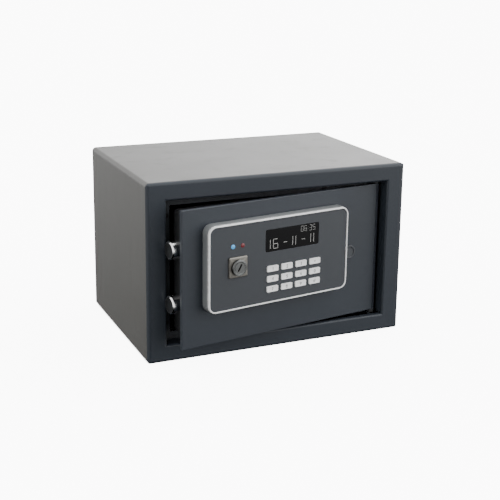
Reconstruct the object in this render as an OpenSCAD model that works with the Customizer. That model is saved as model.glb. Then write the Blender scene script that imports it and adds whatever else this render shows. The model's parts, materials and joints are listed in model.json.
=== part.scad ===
// In-room safe: a folded steel cabinet with a hinged plate door, a keypad housing,
// a motor-driven pair of locking bolts and a key override.
// X runs to the right, Y runs from the door to the back, Z runs up.
// The origin is the middle of the underside. Door pieces are drawn as they lie
// with the door closed, then turned about the hinge axis by door_ajar.

/* [Cabinet] */
// Outside width of the cabinet
cabinet_w = 310; // [300:1:340]
// Outside height of the cabinet
cabinet_h = 200; // [196:1:230]
// Outside depth of the cabinet, without the keypad housing
cabinet_d = 210; // [190:1:300]
// Thickness of the folded sheet
sheet = 2; // [1.5:0.1:2.5]
// Width of the border above and below the door opening
border = 20; // [18:1:24]
// Width of the border at each side of the door opening
side_border = 22; // [18:1:24]
// Outside radius of the folds round the front
fold_r = 4; // [3:0.5:6]
// Radius where the border turns into the opening
mouth_r = 2.5; // [1.5:0.5:3]
// Diameter of each anchor hole
anchor_d = 10; // [6:0.5:12]
// Spacing of the floor anchor holes across the cabinet
floor_anchor_x = 200; // [120:5:220]
// Spacing of the floor anchor holes from front to back
floor_anchor_y = 100; // [60:5:120]
// Spacing of the wall anchor holes
wall_anchor_x = 150; // [80:5:200]
// Height of the wall anchor holes
wall_anchor_z = 120; // [60:5:150]

/* [Door] */
// How far the door stands open at rest, in degrees from closed
door_ajar = 9; // [9:1:60]
// Thickness of the door plate
leaf_t = 5; // [4.5:0.1:6]
// Gap between the plate and the opening at its free edge
leaf_gap = 2.5; // [2:0.1:4]
// Gap above and below the plate
leaf_gap_z = 4; // [2.5:0.1:4.5]
// Diameter of the hinge pins
hinge_pin_d = 4; // [3:0.5:4.5]

/* [Keypad housing] */
// Width of the housing
housing_w = 181; // [178:1:186]
// Height of the housing
housing_h = 96; // [94:1:100]
// Corner radius of the housing
housing_r = 9; // [7:0.5:11]
// Width of one key
key_w = 14.5; // [13.5:0.1:15.6]
// Height of one key
key_h = 6.6; // [6:0.1:8.4]
// How far a key travels
key_travel = 1; // [0.5:0.1:1]

/* [Boltwork] */
// Diameter of each locking bolt
bolt_d = 20; // [14:0.5:20]
// Height between the two bolts
bolt_spacing = 60; // [60:0.5:64]
// How far the bolts travel
bolt_throw = 16; // [10:0.5:16]
// How far the thrown bolts stand beyond the plate's free edge
bolt_out = 5.5; // [2:0.5:6]

/* [Hidden] */
$fn = 64;
SMALL_FN = 32;
EPS = 0.05;
RUN = 0.05; // radial clearance of a shaft that turns or slides in its bore
OVER = 1; // how far a cutter runs past the face that it opens

// Cabinet planes
front_y = -cabinet_d / 2;
back_y = cabinet_d / 2;
open_w = cabinet_w - 2 * side_border;
open_h = cabinet_h - 2 * border;
open_x = open_w / 2;
open_z0 = border;
open_z1 = cabinet_h - border;
mid_z = cabinet_h / 2;
fold_back_y = front_y + fold_r;
corner_r = fold_r + 0.5;
return_depth = 16;
stop_y = front_y + return_depth;
stop_lip = 9;
stop_end_x = open_x - 17;
pad_t = 0.8;
pad_r = 3;
side_pad_dz = 60;
long_pad_x = 60;
mat_t = 2;
mat_inset = 2 * sheet + 1;
mat_hole_r = anchor_d / 2 + 4;
floor_anchor_mid_y = 20;

// Hinge and door planes
knuckle_r = 3.9;
hinge_x = open_x - 7.5;
leaf_front_y = front_y + 10;
leaf_back_y = leaf_front_y + leaf_t;
hinge_y = leaf_front_y + 4;
leaf_x0 = -open_x + leaf_gap;
leaf_z0 = open_z0 + leaf_gap_z;
leaf_z1 = open_z1 - leaf_gap_z;
pin_reach = 10;
pin_bore_h = pin_reach + 2;
lug_w = 14;
lug_d = 14.5;
lug_h = 12;
washer_t = leaf_gap_z - 0.3;

// Keypad housing planes, from the plate outwards
housing_x = hinge_x - 141;
housing_z = mid_z + 10.5;
housing_front_y = leaf_front_y - 10;
trim_front_y = leaf_front_y - 13;
fascia_front_y = leaf_front_y - 12;
fascia_back_y = housing_front_y;
board_front_y = leaf_front_y - 4.6;
board_back_y = leaf_front_y - 3;
housing_wall = 2.5;
trim_w = 2;
fascia_gap = 0.2;
lip_t = 1.5;
lip_w = 6;
boss_r = 4;
boss_bore_r = 1.5;
boss_bore_y = leaf_front_y - 7;
boss_screw_hole_r = 2;
window_r = 4;
boss_x = [housing_x - 82, housing_x + 82];
boss_z = [housing_z - 40, housing_z + 40];
board_w = 152;
board_h = 84;
board_r = 2;
board_hole_r = 1.3;
spacer_flats = 4.4;
spacer_bore_r = 1.25;
spacer_x = [housing_x - 70, housing_x + 70];
spacer_z = [housing_z - 36, housing_z + 36];

// Keys, display, lights and lock on the housing
key_pitch_x = 18.6;
key_pitch_z = 11.5;
key_x0 = hinge_x - 151.4;
key_z0 = housing_z - 8.9;
key_gap = 0.2;
key_r = 1.2;
key_front_y = fascia_front_y - key_r;
key_flange_w = 0.8;
key_flange_t = 1;
key_stem_r = 2;
key_stem_gap = 0.1;
key_mat_t = 1;
dome_r = 3.2;
dome_t = 0.8;
display_w = 70;
display_h = 25;
display_r = 2;
display_fit = 0.2;
display_x = hinge_x - 125.75;
display_z = housing_z + 22.5;
light_x = [hinge_x - 201.5, hinge_x - 189.5];
light_z = housing_z + 22.5;
light_r = 2.4;
light_fit = 0.1;
lock_x = hinge_x - 195.7;
lock_z = housing_z - 0.2;
escutcheon_size = 23;
escutcheon_t = 2;
barrel_r = 8;
barrel_fit = 0.3;
nut_flats = 22;
nut_t = 5;
barrel_flange_r = 9;
barrel_flange_t = 3;
barrel_back_y = leaf_back_y + 10;
plug_r = 6;
plug_neck_r = 2;
keyway_w = 1.8;
keyway_h = 8.6;
keyway_deep = 20;
keyway_tilt = 30;
cam_t = 3;
cam_w = 8;
cam_len = 13;
side_plug_x = hinge_x - 38.5;
side_plug_z = mid_z;
side_plug_r = 8;
side_plug_t = 1.6;
side_plug_rim = 2;
side_plug_stem_r = 5;
side_plug_hole_r = 5.2;
cable_x = housing_x + 36;
cable_z = housing_z + 29.5;
cable_hole_r = 7;
grommet_neck_r = 6.9;
grommet_flange_r = 9;
grommet_bore_r = 3;
grommet_lip_t = 1;

// Mechanism behind the plate
cover_x0 = leaf_x0 + 11.5;
cover_x1 = stop_end_x;
cover_z0 = open_z0 + 12;
cover_z1 = open_z1 - 12;
cover_wall = 1.5;
cover_back_y = leaf_back_y + 34;
cover_in_y = cover_back_y - cover_wall;
cover_r = 4;
post_inset = 9.5;
post_r = 4;
post_bore_r = 2;
post_bore_deep = 14;
cover_screw_hole_r = 2.2;

bolt_r = bolt_d / 2;
bolt_y = stop_y + sheet + 0.5 + bolt_r;
bolt_tip_x = leaf_x0 - bolt_out;
bolt_len = 29;
tie_x = bolt_tip_x + bolt_len;
tie_t = 4;
tie_over = 12;
tie_front = 8.5;
bolt_tap_r = 2.5;
bolt_tap_deep = 10;
guide_x = cover_x0 + cover_wall + 0.5;
guide_w = 8;
guide_over = 14;
guide_back = 4;
guide_waist = 6;

// Rack and pinion: module 1 teeth
tooth_module = 1;
gear_teeth = 14;
gear_pitch_r = tooth_module * gear_teeth / 2;
gear_tip_r = gear_pitch_r + 0.8;
gear_root_r = gear_pitch_r - 1.15;
gear_x = leaf_x0 + 87.5;
gear_z = mid_z - 32;
gear_y = leaf_back_y + 19;
gear_t = 5;
shaft_r = 2;
rack_pitch = PI * tooth_module;
rack_tooth_h = 1.9;
rack_spare = 6;
arm_z0 = gear_z + gear_pitch_r + 1.1;
arm_z1 = arm_z0 + 8;
arm_x1 = gear_x + 30;
slide_gap = 0.3;
motor_half_w = 15;
motor_half_h = 13;
motor_t = 18;
motor_can_r = 7;
motor_can_len = 22;

// Battery compartment and its lid
cell_r = 7.25;
cell_pitch = 15;
cell_len = 50.5;
cells = 4;
holder_x0 = cover_x1 - 78;
holder_x1 = cover_x1 - 19;
holder_wall = 2;
holder_floor = 1.5;
contact_t = 0.5;
contact_w = 10;
spring_turns = 3;
spring_r = 3.6;
nub_len = 1.2;
nub_r = 2.7;
contact_span = holder_x1 - holder_x0 - 2 * holder_wall;
holder_y = cover_in_y - 19.5;
holder_h = cells * cell_pitch + 2 + 2 * holder_wall;
cell_y = cover_in_y - 10.5;
lid_hinge_x = cover_x1 - 14;
lid_hinge_y = cover_back_y + 1.8;
lid_x0 = cover_x1 - 84;
lid_h = 64;
lid_gap = 0.3;
lid_pin_r = 1;
lid_knuckle_r = 1.5;
lid_pin_over = 3;
ear_t = 3;
ear_gap = 0.5;
latch_x = lid_x0 + 4;
latch_w = 2;
latch_half_h = 6;

reset_x = housing_x - 4;
reset_z = mid_z + 45;
reset_half = 7;
reset_r = 3.7;
reset_hole_r = 4;
reset_collar_r = 5;
reset_collar_t = 1.4;
reset_stem_r = 2;
reset_proud = 1.6;

// ---- Shared shapes ----

module rounded_square(w, h, r) {
    square([w - 2 * r, h], center = true);
    square([w, h - 2 * r], center = true);
    for (sx = [-1, 1], sz = [-1, 1])
        translate([sx * (w / 2 - r), sz * (h / 2 - r)]) circle(r);
}

// A rounded plate in the XZ plane between two depths
module plate_y(x, z, w, h, r, y0, y1) {
    translate([x, y1, z]) rotate([90, 0, 0]) linear_extrude(y1 - y0) rounded_square(w, h, r);
}

// A round bar along Y between two depths
module rod_y(x, z, r, y0, y1) {
    translate([x, y1, z]) rotate([90, 0, 0]) cylinder(r = r, h = y1 - y0);
}

module box(x0, x1, y0, y1, z0, z1) {
    translate([x0, y0, z0]) cube([x1 - x0, y1 - y0, z1 - z0]);
}

// A hexagon bar along Y, across its flats
module hex_y(x, z, flats, y0, y1) {
    translate([x, y1, z]) rotate([90, 0, 0])
        cylinder(d = flats / cos(30), h = y1 - y0, $fn = 6);
}

// A screw along Y whose head lies at head_y and whose shank runs towards dir
module screw_y(x, z, head_r, head_t, shank_r, shank_len, head_y, dir) {
    head_end = head_y - dir * head_t;
    shank_end = head_y + dir * shank_len;
    rod_y(x, z, head_r, min(head_y, head_end), max(head_y, head_end));
    rod_y(x, z, shank_r, min(head_y, shank_end), max(head_y, shank_end));
}

// Turns the closed door's pieces to where the door stands at rest
module on_door() {
    translate([hinge_x, hinge_y, 0]) rotate([0, 0, door_ajar])
        translate([-hinge_x, -hinge_y, 0]) children();
}

// ---- Cabinet ----

// Block with rounded long edges, and rounded edges round its front face too
module cabinet_block(y1) {
    intersection() {
        plate_y(0, mid_z, cabinet_w, cabinet_h, corner_r, front_y - OVER, y1);
        upright(cabinet_h) folded_profile(cabinet_w / 2, y1);
        across() upright(cabinet_w) folded_profile(cabinet_h / 2, y1);
    }
}

// Extrudes a section upwards, centred on the middle of the cabinet
module upright(tall) {
    translate([0, 0, mid_z - tall / 2]) linear_extrude(tall) children();
}

// Lays an upright shape on its side, about the middle of the cabinet
module across() {
    translate([0, 0, mid_z]) rotate([0, 90, 0]) translate([0, 0, -mid_z]) children();
}

// Section from above whose two front corners are round
module folded_profile(half, y1) {
    y_arc = front_y + fold_r;
    translate([-half, y_arc]) square([2 * half, y1 + OVER - y_arc]);
    translate([-half + fold_r, front_y]) square([2 * (half - fold_r), fold_r + OVER]);
    for (sx = [-1, 1]) translate([sx * (half - fold_r), y_arc]) circle(fold_r);
}

// Clear way of the door opening, flared by mouth_r at the border
module mouth(y1) {
    intersection() {
        upright(cabinet_h) flared_profile(open_w / 2, y1);
        across() upright(cabinet_w) flared_profile(open_h / 2, y1);
    }
}

// Section from above of a slot that widens towards the front over two round edges
module flared_profile(half, y1) {
    y_arc = front_y + mouth_r;
    difference() {
        union() {
            translate([-half, front_y - OVER]) square([2 * half, y1 - front_y + OVER]);
            translate([-half - mouth_r, front_y - OVER]) square([2 * (half + mouth_r), mouth_r + OVER]);
        }
        for (sx = [-1, 1]) translate([sx * (half + mouth_r), y_arc]) circle(mouth_r);
    }
}

module body_wrap() {
    color("#8b8d8f") difference() {
        plate_y(0, mid_z, cabinet_w, cabinet_h, corner_r, fold_back_y, back_y - sheet);
        plate_y(0, mid_z, cabinet_w - 2 * sheet, cabinet_h - 2 * sheet, corner_r - sheet,
                fold_back_y - OVER, back_y);
        floor_anchor_holes(anchor_d / 2, -OVER, sheet + OVER);
    }
}

module floor_anchor_holes(r, z0, z1) {
    for (sx = [-1, 1], sy = [-1, 1])
        translate([sx * floor_anchor_x / 2, floor_anchor_mid_y + sy * floor_anchor_y / 2, z0])
            cylinder(r = r, h = z1 - z0);
}

module back_panel() {
    color("#8b8d8f") difference() {
        plate_y(0, mid_z, cabinet_w, cabinet_h, corner_r, back_y - sheet, back_y);
        for (sx = [-1, 1])
            rod_y(sx * wall_anchor_x / 2, wall_anchor_z, anchor_d / 2, back_y - sheet - OVER, back_y + OVER);
    }
}

// Border with its folded outer edge and the return that lines the opening
module front_frame() {
    color("#4b5058") difference() {
        union() {
            difference() {
                cabinet_block(fold_back_y);
                box(-cabinet_w / 2 + sheet, cabinet_w / 2 - sheet, front_y + sheet, back_y,
                    sheet, cabinet_h - sheet);
            }
            box(-open_x - sheet, open_x + sheet, front_y + OVER, stop_y, open_z0 - sheet, open_z1 + sheet);
        }
        mouth(stop_y + OVER);
        for (bottom = [true, false]) lug_block(bottom, 2 * sheet);
    }
}

// The block that carries one hinge pin, let into the return
module lug_block(bottom, extra) {
    z_face = bottom ? open_z0 : open_z1;
    z_far = bottom ? open_z0 - lug_h - extra : open_z1 + lug_h + extra;
    box(hinge_x - lug_w / 2, hinge_x + lug_w / 2, hinge_y - lug_d / 2, hinge_y + lug_d / 2,
        min(z_face, z_far), max(z_face, z_far));
}

// Lip on three sides of the opening; it stops short of the hinge
module stop_frame() {
    x0 = -open_x - sheet;
    color("#3e4248") difference() {
        box(x0, stop_end_x, stop_y, stop_y + sheet, open_z0 - sheet, open_z1 + sheet);
        box(-open_x + stop_lip, stop_end_x + OVER, stop_y - OVER, stop_y + sheet + OVER,
            open_z0 + stop_lip, open_z1 - stop_lip);
    }
}

module buffer_pads() {
    lip_mid = stop_lip / 2;
    color("#151515") {
        for (sz = [-1, 1]) {
            rod_y(-open_x + lip_mid, mid_z + sz * side_pad_dz, pad_r, stop_y - pad_t, stop_y);
            rod_y(long_pad_x, mid_z + sz * (open_h / 2 - lip_mid), pad_r, stop_y - pad_t, stop_y);
        }
    }
}

module hinge_lugs() {
    color("#3e4248") for (bottom = [true, false]) difference() {
        lug_block(bottom, 0);
        translate([hinge_x, hinge_y, bottom ? open_z0 - lug_h - OVER : open_z1 - OVER])
            cylinder(d = hinge_pin_d, h = lug_h + 2 * OVER);
    }
}

module hinge_pins() {
    color("silver") for (z = [open_z0 - lug_h, leaf_z1 - pin_reach])
        translate([hinge_x, hinge_y, z]) cylinder(d = hinge_pin_d, h = lug_h + leaf_gap_z + pin_reach);
}

module hinge_washers() {
    color("gold") for (z = [open_z0, open_z1 - washer_t])
        translate([hinge_x, hinge_y, z]) difference() {
            cylinder(r = knuckle_r, h = washer_t);
            translate([0, 0, -OVER]) cylinder(r = hinge_pin_d / 2 + RUN, h = washer_t + 2 * OVER);
        }
}

module floor_mat() {
    color("#26282c") difference() {
        box(-cabinet_w / 2 + mat_inset, cabinet_w / 2 - mat_inset, stop_y + mat_inset, back_y - mat_inset,
            sheet, sheet + mat_t);
        floor_anchor_holes(mat_hole_r, sheet - OVER, sheet + mat_t + OVER);
    }
}

// ---- Door plate ----

module door_leaf() {
    color("#4f545c") on_door() difference() {
        union() {
            box(leaf_x0, hinge_x - OVER, leaf_front_y, leaf_back_y, leaf_z0, leaf_z1);
            translate([hinge_x, hinge_y, leaf_z0]) cylinder(r = knuckle_r, h = leaf_z1 - leaf_z0);
        }
        for (z = [leaf_z0 - OVER, leaf_z1 - pin_bore_h])
            translate([hinge_x, hinge_y, z]) cylinder(r = hinge_pin_d / 2 + RUN, h = pin_bore_h + OVER);
        leaf_hole(lock_x, lock_z, barrel_r + barrel_fit);
        leaf_hole(cable_x, cable_z, cable_hole_r);
        leaf_hole(side_plug_x, side_plug_z, side_plug_hole_r);
        for (x = boss_x, z = boss_z) leaf_hole(x, z, boss_screw_hole_r);
    }
}

module leaf_hole(x, z, r) {
    rod_y(x, z, r, leaf_front_y - OVER, leaf_back_y + OVER);
}

// Dished cap with a stem that fills its hole in the plate
module side_plug() {
    color("#3b3f46") on_door() {
        difference() {
            rod_y(side_plug_x, side_plug_z, side_plug_r, leaf_front_y - side_plug_t, leaf_front_y);
            rod_y(side_plug_x, side_plug_z, side_plug_r - side_plug_rim, leaf_front_y - side_plug_t - OVER,
                  leaf_front_y - side_plug_t / 2);
        }
        rod_y(side_plug_x, side_plug_z, side_plug_stem_r, leaf_front_y - EPS, leaf_back_y);
    }
}

module cable_grommet() {
    color("#151515") on_door() difference() {
        union() {
            rod_y(cable_x, cable_z, grommet_neck_r, leaf_front_y - grommet_lip_t,
                  leaf_back_y + grommet_lip_t);
            rod_y(cable_x, cable_z, grommet_flange_r, leaf_front_y - grommet_lip_t, leaf_front_y);
            rod_y(cable_x, cable_z, grommet_flange_r, leaf_back_y, leaf_back_y + grommet_lip_t);
        }
        rod_y(cable_x, cable_z, grommet_bore_r, board_back_y, leaf_back_y + grommet_lip_t + OVER);
    }
}

// ---- Keypad housing ----

module housing_shell() {
    in_w = housing_w - 2 * housing_wall;
    in_h = housing_h - 2 * housing_wall;
    color("#7d8086") on_door() difference() {
        union() {
            difference() {
                plate_y(housing_x, housing_z, housing_w, housing_h, housing_r,
                        housing_front_y, leaf_front_y);
                plate_y(housing_x, housing_z, in_w, in_h, housing_r - housing_wall,
                        housing_front_y + lip_t, leaf_front_y + OVER);
                plate_y(housing_x, housing_z, in_w - lip_w, in_h - lip_w, window_r,
                        housing_front_y - OVER, leaf_front_y);
            }
            for (x = boss_x, z = boss_z) rod_y(x, z, boss_r, housing_front_y + lip_t / 2, leaf_front_y);
        }
        for (x = boss_x, z = boss_z) rod_y(x, z, boss_bore_r, boss_bore_y, leaf_front_y + OVER);
    }
}

// Bright rim round the housing's front edge, stepped in at its front
module trim_ring() {
    step_w = 0.6;
    step_t = 1;
    color("#e6e6e4") on_door() difference() {
        union() {
            plate_y(housing_x, housing_z, housing_w, housing_h, housing_r,
                    trim_front_y + step_t, housing_front_y);
            plate_y(housing_x, housing_z, housing_w - 2 * step_w, housing_h - 2 * step_w,
                    housing_r - step_w, trim_front_y, housing_front_y);
        }
        plate_y(housing_x, housing_z, housing_w - 2 * trim_w, housing_h - 2 * trim_w,
                housing_r - trim_w, trim_front_y - OVER, housing_front_y + OVER);
    }
}

module fascia() {
    cut = 2 * (trim_w + fascia_gap);
    color("#555a62") on_door() difference() {
        plate_y(housing_x, housing_z, housing_w - cut, housing_h - cut, housing_r - trim_w,
                fascia_front_y, fascia_back_y);
        fascia_window(display_x, display_z, display_w, display_h, display_r);
        for (col = [0:3], row = [0:2])
            fascia_window(key_x0 + col * key_pitch_x, key_z0 - row * key_pitch_z,
                          key_w + 2 * key_gap, key_h + 2 * key_gap, key_r + key_gap);
        rod_y(lock_x, lock_z, barrel_r + barrel_fit, fascia_front_y - OVER, fascia_back_y + OVER);
        for (x = light_x)
            rod_y(x, light_z, light_r + light_fit, fascia_front_y - OVER, fascia_back_y + OVER);
    }
}

module fascia_window(x, z, w, h, r) {
    plate_y(x, z, w, h, r, fascia_front_y - OVER, fascia_back_y + OVER);
}

module display_window() {
    sunk = 0.2;
    color("#101114") on_door()
        plate_y(display_x, display_z, display_w - 2 * display_fit, display_h - 2 * display_fit,
                display_r - display_fit, fascia_front_y + sunk, fascia_back_y);
}

module display_module() {
    module_w = display_w - 6;
    module_h = display_h - 5;
    air = 0.3;
    color("#22262b") on_door()
        plate_y(display_x, display_z, module_w, module_h, 1, fascia_back_y + air, board_front_y);
}

module circuit_board() {
    color("#1f5a38") on_door() difference() {
        plate_y(housing_x, housing_z, board_w, board_h, board_r, board_front_y, board_back_y);
        rod_y(lock_x, lock_z, barrel_r + 2, board_front_y - OVER, board_back_y + OVER);
        for (x = spacer_x, z = spacer_z)
            rod_y(x, z, board_hole_r, board_front_y - OVER, board_back_y + OVER);
    }
}

module board_spacers() {
    color("#b08d45") on_door() for (x = spacer_x, z = spacer_z) difference() {
        hex_y(x, z, spacer_flats, board_back_y, leaf_front_y);
        rod_y(x, z, spacer_bore_r, board_back_y - OVER, leaf_front_y + OVER);
    }
}

module board_screws() {
    color("silver") on_door() for (x = spacer_x, z = spacer_z)
        screw_y(x, z, head_r = 2.2, head_t = 1.4, shank_r = 1.2, shank_len = 4.3,
                head_y = board_front_y, dir = 1);
}

// Silicone sheet with one dome under each key
module key_mat() {
    mat_y = board_front_y - key_mat_t;
    mid_x = key_x0 + 1.5 * key_pitch_x;
    edge = 2;
    color("#9a9a96") on_door() {
        plate_y(mid_x, key_z0 - key_pitch_z, 4 * key_pitch_x + 2 * edge, 3 * key_pitch_z + 2 * edge, edge,
                mat_y, board_front_y);
        for (col = [0:3], row = [0:2])
            rod_y(key_x0 + col * key_pitch_x, key_z0 - row * key_pitch_z, dome_r, mat_y - dome_t,
                  mat_y + EPS);
    }
}

module status_lights() {
    proud = 0.5;
    color("#5fae6a") on_door() for (x = light_x)
        rod_y(x, light_z, light_r, fascia_front_y - proud, board_front_y);
}

// One key: cap, the flange that keeps it behind the fascia, and its stem
module key_cap(col, row) {
    x = key_x0 + col * key_pitch_x;
    z = key_z0 - row * key_pitch_z;
    flange_y = fascia_back_y + key_gap;
    stem_end_y = board_front_y - key_mat_t - dome_t - key_travel - key_stem_gap;
    color("#ececea") on_door() {
        plate_y(x, z, key_w, key_h, key_r, key_front_y, flange_y + EPS);
        plate_y(x, z, key_w + 2 * key_flange_w, key_h + 2 * key_flange_w, key_r, flange_y,
                flange_y + key_flange_t);
        rod_y(x, z, key_stem_r, flange_y + key_flange_t - EPS, stem_end_y);
    }
}

// ---- Override lock ----

module lock_escutcheon() {
    color("#b9ad98") on_door() difference() {
        plate_y(lock_x, lock_z, escutcheon_size, escutcheon_size, 1.5,
                fascia_front_y - escutcheon_t, fascia_front_y);
        rod_y(lock_x, lock_z, barrel_r + barrel_fit, fascia_front_y - escutcheon_t - OVER,
              fascia_front_y + OVER);
    }
}

module lock_barrel() {
    flange_y = fascia_front_y - escutcheon_t;
    color("#8e9092") on_door() difference() {
        union() {
            rod_y(lock_x, lock_z, barrel_flange_r, flange_y - barrel_flange_t, flange_y);
            rod_y(lock_x, lock_z, barrel_r, flange_y - EPS, barrel_back_y);
        }
        rod_y(lock_x, lock_z, plug_r + RUN, flange_y - barrel_flange_t - OVER, barrel_back_y + OVER);
    }
}

module lock_nut() {
    color("silver") on_door() difference() {
        hex_y(lock_x, lock_z, nut_flats, leaf_back_y, leaf_back_y + nut_t);
        rod_y(lock_x, lock_z, barrel_r, leaf_back_y - OVER, leaf_back_y + nut_t + OVER);
    }
}

// Core that the key turns, with its keyway and the neck that carries the cam
module lock_plug() {
    face_y = fascia_front_y - escutcheon_t - barrel_flange_t;
    color("#6f7173") on_door() difference() {
        union() {
            rod_y(lock_x, lock_z, plug_r, face_y, barrel_back_y);
            rod_y(lock_x, lock_z, plug_neck_r, barrel_back_y - EPS, barrel_back_y + cam_t + 1);
        }
        translate([lock_x, 0, lock_z]) rotate([0, keyway_tilt, 0])
            box(-keyway_w / 2, keyway_w / 2, face_y - OVER, face_y + keyway_deep,
                -keyway_h / 2, keyway_h / 2);
    }
}

module lock_cam() {
    color("silver") on_door() difference() {
        union() {
            rod_y(lock_x, lock_z, cam_w / 2, barrel_back_y, barrel_back_y + cam_t);
            box(lock_x - cam_w / 2, lock_x + cam_w / 2, barrel_back_y, barrel_back_y + cam_t,
                lock_z - cam_len, lock_z);
        }
        rod_y(lock_x, lock_z, plug_neck_r, barrel_back_y - OVER, barrel_back_y + cam_t + OVER);
    }
}

module housing_screws() {
    color("silver") on_door() for (x = boss_x, z = boss_z)
        screw_y(x, z, head_r = 3.4, head_t = 2, shank_r = 1.4, shank_len = 11.5,
                head_y = leaf_back_y, dir = -1);
}

// ---- Boltwork ----

module bolt(z) {
    chamfer = 1;
    color("#b9bcbf") on_door() difference() {
        translate([bolt_tip_x, bolt_y, z]) rotate([0, 90, 0]) {
            cylinder(r1 = bolt_r - chamfer, r2 = bolt_r, h = chamfer);
            translate([0, 0, chamfer]) cylinder(r = bolt_r, h = bolt_len - chamfer);
        }
        translate([tie_x - bolt_tap_deep, bolt_y, z]) rotate([0, 90, 0])
            cylinder(r = bolt_tap_r, h = bolt_tap_deep + OVER);
    }
}

module bolt_screws() {
    shank_in = 8;
    color("silver") on_door() for (sz = [-1, 1])
        translate([tie_x + tie_t, bolt_y, mid_z + sz * bolt_spacing / 2]) rotate([0, 90, 0]) {
            cylinder(r = 4, h = 3);
            translate([0, 0, -tie_t - shank_in]) cylinder(r = 2.4, h = tie_t + shank_in + EPS);
        }
}

// Tie plate across the two bolts, and the toothed arm that the pinion drives
module bolt_bar() {
    first = gear_x + rack_pitch / 2;
    teeth_left = ceil((bolt_throw + rack_spare) / rack_pitch);
    root_half = 0.8;
    tip_half = 0.3;
    tip = -rack_tooth_h - EPS;
    color("#9b9ea1") on_door() difference() {
        union() {
            box(tie_x, tie_x + tie_t, bolt_y - tie_front, gear_y + gear_t,
                mid_z - bolt_spacing / 2 - tie_over, mid_z + bolt_spacing / 2 + tie_over);
            box(tie_x, arm_x1, gear_y, gear_y + gear_t, arm_z0, arm_z1);
            for (i = [-teeth_left:2])
                translate([first + i * rack_pitch, gear_y + gear_t, arm_z0 + EPS]) rotate([90, 0, 0])
                    linear_extrude(gear_t)
                        polygon([[-root_half, 0], [-tip_half, tip], [tip_half, tip], [root_half, 0]]);
        }
        for (sz = [-1, 1])
            translate([tie_x - OVER, bolt_y, mid_z + sz * bolt_spacing / 2]) rotate([0, 90, 0])
                cylinder(r = bolt_tap_r, h = tie_t + 2 * OVER);
    }
}

module drive_gear() {
    root_half = 0.85;
    tip_half = 0.3;
    root_sink = 0.3;
    color("#c8b060") on_door() difference() {
        translate([gear_x, gear_y + gear_t, gear_z]) rotate([90, 0, 0]) linear_extrude(gear_t) {
            circle(gear_root_r);
            for (i = [0:gear_teeth - 1]) rotate(i * 360 / gear_teeth)
                polygon([[-root_half, gear_root_r - root_sink], [root_half, gear_root_r - root_sink],
                         [tip_half, gear_tip_r], [-tip_half, gear_tip_r]]);
        }
        rod_y(gear_x, gear_z, shaft_r, gear_y - OVER, gear_y + gear_t + OVER);
    }
}

module drive_shaft() {
    color("silver") on_door()
        rod_y(gear_x, gear_z, shaft_r, leaf_back_y + 7, gear_y + gear_t + 3);
}

module gear_motor() {
    box_y1 = leaf_back_y + motor_t;
    can_x = gear_x + motor_can_r;
    color("#a0a3a6") on_door() difference() {
        union() {
            box(gear_x - motor_half_w, gear_x + motor_half_w, leaf_back_y, box_y1,
                gear_z - motor_half_h, gear_z + motor_half_h);
            translate([can_x, leaf_back_y + motor_t / 2, gear_z - motor_half_h + OVER - motor_can_len])
                cylinder(r = motor_can_r, h = motor_can_len);
        }
        rod_y(gear_x, gear_z, shaft_r + RUN, leaf_back_y + 6, box_y1 + OVER);
    }
}

module bolt_guide() {
    back = bolt_y + bolt_r + guide_back;
    reach = bolt_spacing / 2 + guide_over;
    color("#d8d8d4") on_door() difference() {
        box(guide_x, guide_x + guide_w, leaf_back_y, back, mid_z - reach, mid_z + reach);
        for (sz = [-1, 1])
            translate([guide_x - OVER, bolt_y, mid_z + sz * bolt_spacing / 2]) rotate([0, 90, 0])
                cylinder(r = bolt_r + RUN, h = guide_w + 2 * OVER);
        box(guide_x - OVER, guide_x + guide_w + OVER, leaf_back_y + guide_waist, back + OVER,
            mid_z - guide_over, mid_z + guide_over);
    }
}

// Block that holds the free end of the toothed arm
module bar_guide() {
    x0 = arm_x1 - 9;
    x1 = arm_x1 + 3;
    color("#d8d8d4") on_door() difference() {
        box(x0, x1, leaf_back_y, gear_y + gear_t + 4, arm_z0 - 4, arm_z1 + 8);
        box(x0 - OVER, x1 + OVER, gear_y - slide_gap, gear_y + gear_t + slide_gap,
            arm_z0 - rack_tooth_h - slide_gap, arm_z1 + slide_gap);
    }
}

// ---- Wiring, held all the way inside the housing and the cover ----

// A round lead through a list of points, with a ball at each turn
module lead(points, r) {
    for (i = [0:len(points) - 2]) {
        step = points[i + 1] - points[i];
        len_xy = norm([step[0], step[1]]);
        translate(points[i]) rotate([0, atan2(len_xy, step[2]), atan2(step[1], step[0])])
            cylinder(r = r, h = norm(step), $fn = SMALL_FN);
    }
    for (i = [1:len(points) - 2]) translate(points[i]) sphere(r = r, $fn = SMALL_FN);
}

module wire_loom() {
    lead_r = 2;
    run_y = leaf_back_y + 6;
    top = [cable_x, run_y, cable_z];
    fork = [cable_x, run_y, mid_z];
    battery_x = holder_x0 - 8;
    color("#333333") on_door() {
        lead([[cable_x, board_back_y, cable_z], top, [cable_x, run_y, gear_z],
              [gear_x + motor_half_w, run_y, gear_z]], lead_r);
        lead([top, [reset_x + reset_half, run_y, cable_z]], lead_r);
        lead([fork, [battery_x, run_y, mid_z], [battery_x, cell_y, mid_z], [holder_x0, cell_y, mid_z]],
             lead_r);
    }
}

// ---- Inner cover and batteries ----

module cover_corners() {
    for (x = [cover_x0 + post_inset + 1.5, cover_x1 - post_inset],
         z = [cover_z0 + post_inset, cover_z1 - post_inset])
        translate([x, 0, z]) children();
}

module cover_posts() {
    color("#8a8d90") on_door() cover_corners() difference() {
        rod_y(0, 0, post_r, leaf_back_y, cover_in_y);
        rod_y(0, 0, post_bore_r, cover_in_y - post_bore_deep, cover_in_y + OVER);
    }
}

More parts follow.
